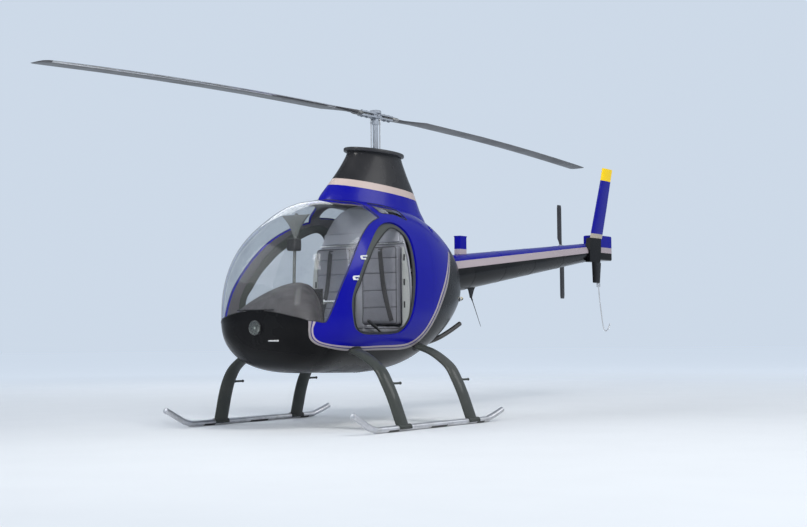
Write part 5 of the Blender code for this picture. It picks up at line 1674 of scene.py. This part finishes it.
def make_hinges():
    """The bare halves of the door hinges on the frame, white as in the photo."""
    for side, sign in SIDES.items():
        low, high = (Vector((sign * x, y, z)) for x, y, z in ((0.585, -1.090, 1.205), (0.560, -0.947, 1.375)))
        axis = (high - low).normalized()
        root = Vector((sign * -0.018, -0.034, 0.0))
        pieces = []
        for point in (low, high):
            for way in (-1, 1):
                start = point + axis * way * 0.010
                end = start + axis * way * 0.012
                middle = (start + end) / 2
                pieces.append(rod("lug", start, end, 0.0075, 24))
                pieces.append(rod("bore", start - axis * way * 0.001, end + axis * way * 0.001, 0.0035, 16))
                pieces.append(rod("arm", middle, middle + root, 0.0060, 16))
            foot = point + root
            hit = side_hit(sign, foot.y, foot.z)
            if hit:
                pieces.append(revolve("foot", ((-0.001, 0.016), (0.002, 0.016), (0.004, 0.011)), hit[0],
                                      hit[1], 24))
        dress(join_meshes(f"door_hinge_halves_{side}", pieces), "white_gloss")


# Nose fittings, engine bay, cowl fittings

# The landing lamp's turned parts: finish, sides, the solid they replace, (distance aft, radius)
LAMP_PARTS = {
    "lamp_bowl": ("bright_metal", 48, ("landing_lamp",), (
        (0.024, 0.0), (0.022, 0.030), (0.014, 0.048), (0.0, 0.0590), (-0.003, 0.0595), (-0.003, 0.0560),
        (0.0, 0.0555), (0.013, 0.045), (0.019, 0.028), (0.021, 0.0))),
    "lamp_lens": ("lamp_glass", 48, (), (
        (-0.004, 0.0575), (-0.0065, 0.054), (-0.009, 0.042), (-0.0105, 0.024), (-0.0108, 0.0),
        (-0.0075, 0.0), (-0.007, 0.024), (-0.0055, 0.042), (-0.003, 0.054))),
    "lamp_bulb": ("white_gloss", 20, (), (
        (0.020, 0.006), (0.006, 0.006), (0.002, 0.009), (-0.001, 0.007), (-0.002, 0.0))),
    "lamp_rim": ("black_rubber", 48, (), (
        (0.002, 0.0600), (-0.006, 0.0600), (-0.0075, 0.0580), (-0.006, 0.0560), (0.0, 0.0560))),
}
TAIL_LIGHT_LINE = (Vector((0.302, 0.925, 1.080)), Vector((0.235, 0.800, 1.060)))


def make_nose_fittings():
    """The landing lamp, the pitot tube, and the light on the cowl's rear."""
    for name, (finish, sides, solids, profile) in LAMP_PARTS.items():
        dress(revolve(name, profile, LAMP_PLACE, AFT, sides), finish, replaces=solids)
    start, _ = skin_hit((0.200, -2.0, 0.712), AFT)
    tube = revolve("pitot_probe", ((0.0, 0.008), (0.010, 0.0062), (0.080, 0.0060), (0.115, 0.0048),
                                   (0.1155, 0.0034), (0.100, 0.0030), (0.100, 0.0)),
                   start, -AFT, 24)
    dress(tube, "white_gloss", replaces=("pitot_tube",))
    outside, inside = TAIL_LIGHT_LINE
    place = SKIN_TREE.ray_cast(outside, inside - outside)[0]
    way = (outside - inside).normalized()
    base = revolve("tail_light_base", ((-0.002, 0.023), (0.006, 0.022), (0.010, 0.019)), place, way, 32)
    dress(base, "white_gloss", replaces=("tail_light",))
    lens = revolve("tail_light_lens", ((0.010, 0.018), (0.020, 0.0175), (0.032, 0.013), (0.038, 0.006),
                                       (0.039, 0.0)), place, way, 32)
    dress(lens, "amber_glass")


FAN_Z = 0.930
FAN_BLADE = ((0.075, 0.0), (0.125, 0.006), (0.182, 0.016))      # (distance from the hub, lean)
FAN_CORNERS = ((0.004, 0.0012), (0.070, 0.0012), (0.070, -0.0012), (0.004, -0.0012))


def make_engine_bay():
    """What shows through the belly's air opening and the cowl's hole: block, fan, pipes."""
    repaint("engine_block", "cast_alloy")
    middle = Vector((0, box_of("engine_block")[1].y + 0.002, FAN_Z))
    fan = []
    for c, s in circle(20):
        way, side = Vector((c, 0, s)), Vector((-s, 0, c))
        fan.append(loft("blade", [[middle + way * radius + side * lean + AFT * depth + side * half
                                   for depth, half in FAN_CORNERS] for radius, lean in FAN_BLADE]))
    for sides, profile in (
            (64, ((0, 0.0), (0, 0.186), (0.004, 0.186), (0.005, 0.0))),
            (64, ((0.070, 0.120), (0.070, 0.186), (0.073, 0.187), (0.074, 0.120))),
            (40, ((0.0, 0.072), (0.050, 0.066), (0.100, 0.050), (0.113, 0.030), (0.115, 0.0)))):
        fan.append(revolve("disc", profile, middle, AFT, sides))
    dress(join_meshes("fan_wheel", fan), "cast_alloy", replaces=("cooling_fan",))
    muffler = revolve("muffler", ((0, 0.0), (0.002, 0.030), (0.010, 0.038), (0.350, 0.038), (0.358, 0.030),
                                  (0.360, 0.0)), (-0.180, 0.300, 0.666), PORT, 32)
    path = tail_pipe_path()
    pipe = sweep("pipe", path, 0.021, sides=28, up=PORT)
    beyond = tuple(2 * last - before for before, last in zip(path[-2], path[-1]))
    cut(pipe, sweep("bore", path[len(path) // 2:] + [beyond], 0.0185, sides=28, up=PORT))
    dress(join_meshes("exhaust_pipe", [muffler, pipe]), "dark_steel", replaces=("exhaust",))


def make_cowl_fittings():
    """Fuel caps on the upper cowl and the belly's inspection plates."""
    for side, sign in SIDES.items():
        place, normal = skin_hit((sign * 0.30, 0.420, 2.4), (0, 0, -1))
        cap = revolve(f"fuel_cap_{side}", ((-0.002, 0.038), (0.001, 0.038), (0.003, 0.035), (0.003, 0.026),
                                          (0.005, 0.024), (0.006, 0.018), (0.006, 0.0)), place, normal, 40)
        dress(cap, "blue_gloss")
        bar = box(f"fuel_cap_bar_{side}", (-0.020, -0.004, 0.0055), (0.020, 0.004, 0.012), 0.002)
        bar.data.transform(Matrix.Translation(place) @ normal.to_track_quat("Z", "Y").to_matrix().to_4x4())
        dress(bar, "bright_metal")
        for end, station in (("front", -0.86), ("rear", -0.40)):
            add_plate(f"belly_plate_{side}_{end}", sign * 0.17, station)


PLATE_HALF_SIZES = (0.075, 0.110)
PLATE_LIFT = 0.0012


def belly_outline(x, station, inset, radius):
    """The skin's (place, normal) round a rectangle on the belly."""
    half_x, half_y = (size - inset for size in PLATE_HALF_SIZES)
    outline = rounded_rectangle(x - half_x, x + half_x, station - half_y, station + half_y, radius)
    return [skin_hit((a, b, 0.2), UP) for a, b in outline]


def add_plate(name, x, station):
    """A thin riveted plate on the belly."""
    hits = belly_outline(x, station, 0.0, 0.02)
    count = len(hits)
    total = count + 1
    hits.append(skin_hit((x, station, 0.2), UP))
    points = [place + normal * lift for lift in (PLATE_LIFT, -0.0002) for place, normal in hits]
    faces = [(k, (k + 1) % count, count) for k in range(count)]
    faces += [(total + (k + 1) % count, total + k, total + count) for k in range(count)]
    faces += [((k + 1) % count, k, total + k, total + (k + 1) % count) for k in range(count)]
    plate = from_lists(name, points, faces)
    bm = bmesh.new()
    bm.from_mesh(plate.data)
    bmesh.ops.recalc_face_normals(bm, faces=bm.faces)
    bm.to_mesh(plate.data)
    bm.free()
    dress(plate, "black_gloss")
    row = [(place + normal * PLATE_LIFT, normal) for place, normal in belly_outline(x, station, 0.009, 0.015)]
    add_row("black_rivets", row + row[:1])


# Rotors

def make_main_rotor():
    """Mast, pitch control with its links, the two-plate hub and the two blades."""
    body = "main_rotor"
    low, high = box_of("main_mast")
    mast = revolve("mast_tube", ((0, 0.024), (high.z - low.z - 0.060, 0.024), (high.z - low.z - 0.056, 0.029),
                                 (high.z - low.z - 0.002, 0.029), (high.z - low.z, 0.027)),
                   (0, 0, low.z), UP, 48)
    dress(mast, "rotor_enamel", body, ("main_mast",))
    pieces = [revolve("swash", ((0, 0.0245), (0, 0.044), (0.004, 0.049), (0.010, 0.049), (0.012, 0.044),
                                (0.014, 0.044), (0.016, 0.049), (0.0195, 0.046), (0.020, 0.0245)),
                      (0, 0, 2.292), UP, 48)]
    for sign in (1, -1):
        x, y = sign * 0.022, sign * 0.036
        pieces += [rod("link", (x, y, 2.300), (x, y, 2.655), 0.0048, 16),
                   rod("nut", (x, y, 2.330), (x, y, 2.350), 0.0075, 6),
                   rod("nut", (x, y, 2.615), (x, y, 2.635), 0.0075, 6),
                   rod("eye", (x - 0.007, y, 2.655), (x + 0.007, y, 2.655), 0.0095, 20)]
    dress(join_meshes("pitch_links", pieces), "bright_metal", body, ("pitch_control",))
    plates = []
    line = rounded_rectangle(-0.036, 0.036, -0.240, 0.240, 0.020)
    for base in (-0.022, 0.009):
        plates.append(prism("plate", line, HUB_Z + base, HUB_Z + base + 0.013, axis="z"))
    plates.append(box("block", (-0.030, -0.062, HUB_Z - 0.020), (0.030, 0.062, HUB_Z + 0.020), 0.004))
    plates.append(revolve("cap", ((0, 0.052), (0.022, 0.052), (0.026, 0.046), (0.027, 0.030), (0.030, 0.028),
                                  (0.030, 0.0)), (0, 0, HUB_Z + 0.022), UP, 40))
    plates.append(rod("teeter_bolt", (-0.046, 0, HUB_Z), (0.046, 0, HUB_Z), 0.012, 24))
    for y in (-0.205, -0.135, 0.135, 0.205):
        for top, height in ((HUB_Z + 0.022, 0.009), (HUB_Z - 0.022, -0.009)):
            plates.append(rod("nut", (0, y, top), (0, y, top + height), 0.013, 6, 0.1))
        plates.append(rod("bolt", (0, y, HUB_Z - 0.034), (0, y, HUB_Z + 0.034), 0.007, 16))
    dress(join_meshes("hub_plates", plates), "rotor_enamel", body, ("rotor_hub",))
    make_blade_grips()
    for name, sign in (("main_blade_1", -1), ("main_blade_2", 1)):
        dress(main_blade(f"{name}_skin", sign), "blade_satin", body, (name,))
        dress(main_edge(f"{name}_edge", sign), "bright_metal", body)


# A blade grip's sections: distance from the mast, half width, half thickness
GRIP_SECTIONS = ((0.100, 0.026, 0.0086), (0.236, 0.032, 0.0086), (0.246, 0.042, 0.0175),
                 (0.252, 0.0445, 0.0200), (0.305, 0.0455, 0.0195), (0.312, 0.0440, 0.0172))
GRIP_BOLTS = (0.266, 0.292)


def make_blade_grips():
    """The forgings that hold each blade between the hub's plates, with a cuff round the blade's root."""
    grips = []
    for sign in (1, -1):
        path = [(0, sign * distance, droop_at(distance)) for distance, _, _ in GRIP_SECTIONS]
        grips.append(sweep("grip", path, [(wide, tall) for _, wide, tall in GRIP_SECTIONS], sides=32))
        for distance in GRIP_BOLTS:
            place = Vector((0, sign * distance, droop_at(distance) + 0.0185))
            grips.append(rod("bolt", place, place + UP * 0.004, 0.008, 6))
    dress(join_meshes("blade_grips", grips), "cast_alloy", "main_rotor")


def droop_at(distance):
    share = max(0.0, (distance - BLADE_ROOT) / (BLADE_SECTIONS[-1][0] - BLADE_ROOT))
    return HUB_Z - BLADE_DROOP * share ** 2


def main_blade(name, sign):
    rows = (*BLADE_SECTIONS[:6], *((distance, *BLADE_SECTIONS[6][1:]) for distance in (2.15, 2.7, 3.2)),
            *BLADE_SECTIONS[7:])
    return loft(name, [foil(lead, -trail, half, lambda x, t: (-sign * x, sign * distance,
                                                              droop_at(distance) + t))
                       for distance, lead, trail, half in rows])


STRIP_THICKNESS = 0.0008


def main_edge(name, sign):
    """The metal strip along a blade's leading edge."""
    nose = [point for point in SECTION if point[0] < 0.16]
    line = [point for point in nose if point[1] < 0] + [point for point in nose if point[1] >= 0]
    distances, *columns = zip(*BLADE_SECTIONS)
    rings = []
    for distance in np.linspace(0.64, 3.78, 14):
        lead, trail, half = (np.interp(distance, distances, column) for column in columns)
        rings.append([(-sign * (lead + skin - (lead + trail) * chord), sign * distance,
                       droop_at(distance) + (half + skin) * off)
                      for skin, points in ((STRIP_THICKNESS, line), (STRIP_THICKNESS * 0.2, line[::-1]))
                      for chord, off in points])
    return loft(name, rings)


def make_tail_rotor():
    """Gearbox, shaft, yoke, pitch links and the two tail blades."""
    x, y, z = TAIL_HUB
    case = [revolve("case", ((0, 0.046), (0.020, 0.046), (0.024, 0.040), (0.060, 0.040), (0.064, 0.044),
                             (0.074, 0.044), (0.078, 0.038), (0.130, 0.034), (0.150, 0.030),
                             (0.1517, 0.020)), (-0.0883, y, z), (-1, 0, 0), 40)]
    for c, s in circle(8):
        start = Vector((-0.0883 - 0.074, y, z)) + Vector((0, c, s)) * 0.038
        case.append(rod("bolt", start, start - PORT * 0.006, 0.0035, 6))
    dress(join_meshes("tail_gearbox_shell", case), "cast_alloy", replaces=("tail_gearbox",))
    body = "tail_rotor"
    pieces = [rod("shaft", (-0.2403, y, z), (x - 0.030, y, z), 0.015, 32),
              box("yoke", (x - 0.018, y - 0.034, z - 0.080), (x + 0.018, y + 0.034, z + 0.080), 0.007, 4),
              revolve("slider", ((0, 0.020), (0.004, 0.026), (0.014, 0.026), (0.018, 0.020)),
                      (-0.305, y, z), (-1, 0, 0), 32),
              rod("teeter", (x, y - 0.044, z), (x, y + 0.044, z), 0.009, 20)]
    for sign in (1, -1):
        pieces.append(rod("link", (-0.316, y + sign * 0.024, z + sign * 0.014),
                          (x + 0.010, y + sign * 0.034, z + sign * 0.070), 0.004, 12))
    dress(join_meshes("tail_yoke", pieces), "bright_metal", body, ("tail_rotor_hub",))
    for name, sign in (("tail_blade_1", 1), ("tail_blade_2", -1)):
        rings = [foil(lead, -trail, half, lambda a, t: (x + t, y + sign * a, z + sign * distance))
                 for distance, lead, trail, half in TAIL_BLADE_SECTIONS]
        dress(loft(f"{name}_skin", rings), "blade_satin", body, (name,))


# Stage, light and camera

WORLD_LIGHT = 0.55
WORLD_SEEN = 0.85
FLOOR_GLOW = 0.42


def make_stage():
    bm = bmesh.new()
    bmesh.ops.create_circle(bm, cap_ends=True, radius=70.0, segments=96)
    floor = add_mesh("studio_floor", bm)
    if floor.data.polygons[0].normal.z < 0:
        floor.data.flip_normals()
    tree, shader = start_finish("studio_floor")
    speckle = noise(tree, object_place(tree), 1.5, 4.0)
    distance = node(tree, "ShaderNodeVectorMath", {0: object_place(tree)}, operation="LENGTH")
    # Far out the floor glows like the backdrop, so that no hard line shows where it ends
    glow = map_range(tree, distance.outputs["Value"], 3.0, 18.0, 0.0, FLOOR_GLOW,
                     interpolation_type="SMOOTHSTEP")
    fill(tree, shader, {"Base Color": mix_colour(tree, speckle, (0.70, 0.72, 0.74, 1), (0.74, 0.76, 0.78, 1)),
                        "Roughness": 0.9, "Specular IOR Level": 0.0, "Emission Strength": glow,
                        "Emission Color": (0.79, 0.88, 1.00, 1)})
    floor.data.materials.append(FINISHES["studio_floor"])
    floor.location.z = -0.0015
    world = bpy.data.worlds.new("studio")
    bpy.context.scene.world = world
    world.use_nodes = True
    tree = world.node_tree
    seen = node(tree, "ShaderNodeLightPath").outputs["Is Camera Ray"]
    fill(tree, tree.nodes["Background"], {"Color": (0.72, 0.82, 0.95, 1), "Strength": map_range(
        tree, seen, 0.0, 1.0, WORLD_LIGHT, WORLD_SEEN)})


def add_light(name, place, target, size, power, colour=(1, 1, 1), mirrored=True, spread=180):
    light = bpy.data.lights.new(name, "AREA")
    light.energy = power
    light.size = size
    light.color = colour
    light.spread = math.radians(spread)
    obj = new_object(name, light)
    obj.location = place
    obj.rotation_mode = "QUATERNION"
    obj.rotation_quaternion = (Vector(target) - Vector(place)).to_track_quat("-Z", "Y")
    obj.visible_camera = False
    obj.visible_glossy = mirrored


def make_lights():
    target = (0, 0, 1.2)
    add_light("key", (7.5, -4.0, 9.0), target, 3.5, 700, (1.0, 0.98, 0.95))
    add_light("front_fill", (-6.5, -7.5, 7.5), target, 5.0, 240, (0.93, 0.96, 1.0))
    add_light("back_fill", (-7.0, 6.5, 8.0), target, 5.0, 260, mirrored=False)
    add_light("rear_fill", (8.0, 8.5, 7.0), (0, 2, 1.4), 4.0, 220)
    add_light("nose_fill", (3.5, -11.0, 4.2), (0, -0.5, 1.5), 3.0, 48, mirrored=False, spread=50)


def make_camera():
    data = bpy.data.cameras.new("photo_camera")
    camera = new_object("photo_camera", data)
    yaw, pitch, roll = (math.radians(angle) for angle in (CAMERA_YAW, CAMERA_PITCH, CAMERA_ROLL))
    forward = Vector((-math.sin(yaw) * math.cos(pitch), math.cos(yaw) * math.cos(pitch), math.sin(pitch)))
    right = Vector((math.cos(yaw), math.sin(yaw), 0))
    up = right.cross(forward)
    turned_right = right * math.cos(roll) + up * math.sin(roll)
    turned_up = up * math.cos(roll) - right * math.sin(roll)
    matrix = Matrix((turned_right, turned_up, -forward)).transposed().to_4x4()
    matrix.translation = CAMERA_PLACE + INTO_FRAME
    camera.matrix_world = matrix
    data.sensor_width = SENSOR_WIDTH
    data.lens = SENSOR_WIDTH * FOCAL_PIXELS / PHOTO_WIDTH
    data.clip_end = 300
    bpy.context.scene.camera = camera


def main():
    make_camera()
    make_stage()
    make_lights()
    make_pod()
    make_hinges()
    make_fairing()
    make_boom()
    make_boom_fittings()
    make_fins()
    make_tail_skid()
    make_landing_gear()
    make_nose_fittings()
    make_engine_bay()
    make_cowl_fittings()
    make_cabin()
    make_main_rotor()
    make_tail_rotor()
    make_fasteners()
    bpy.data.objects.remove(SKIN, do_unlink=True)
    bpy.context.scene.view_settings.view_transform = "Standard"


main()
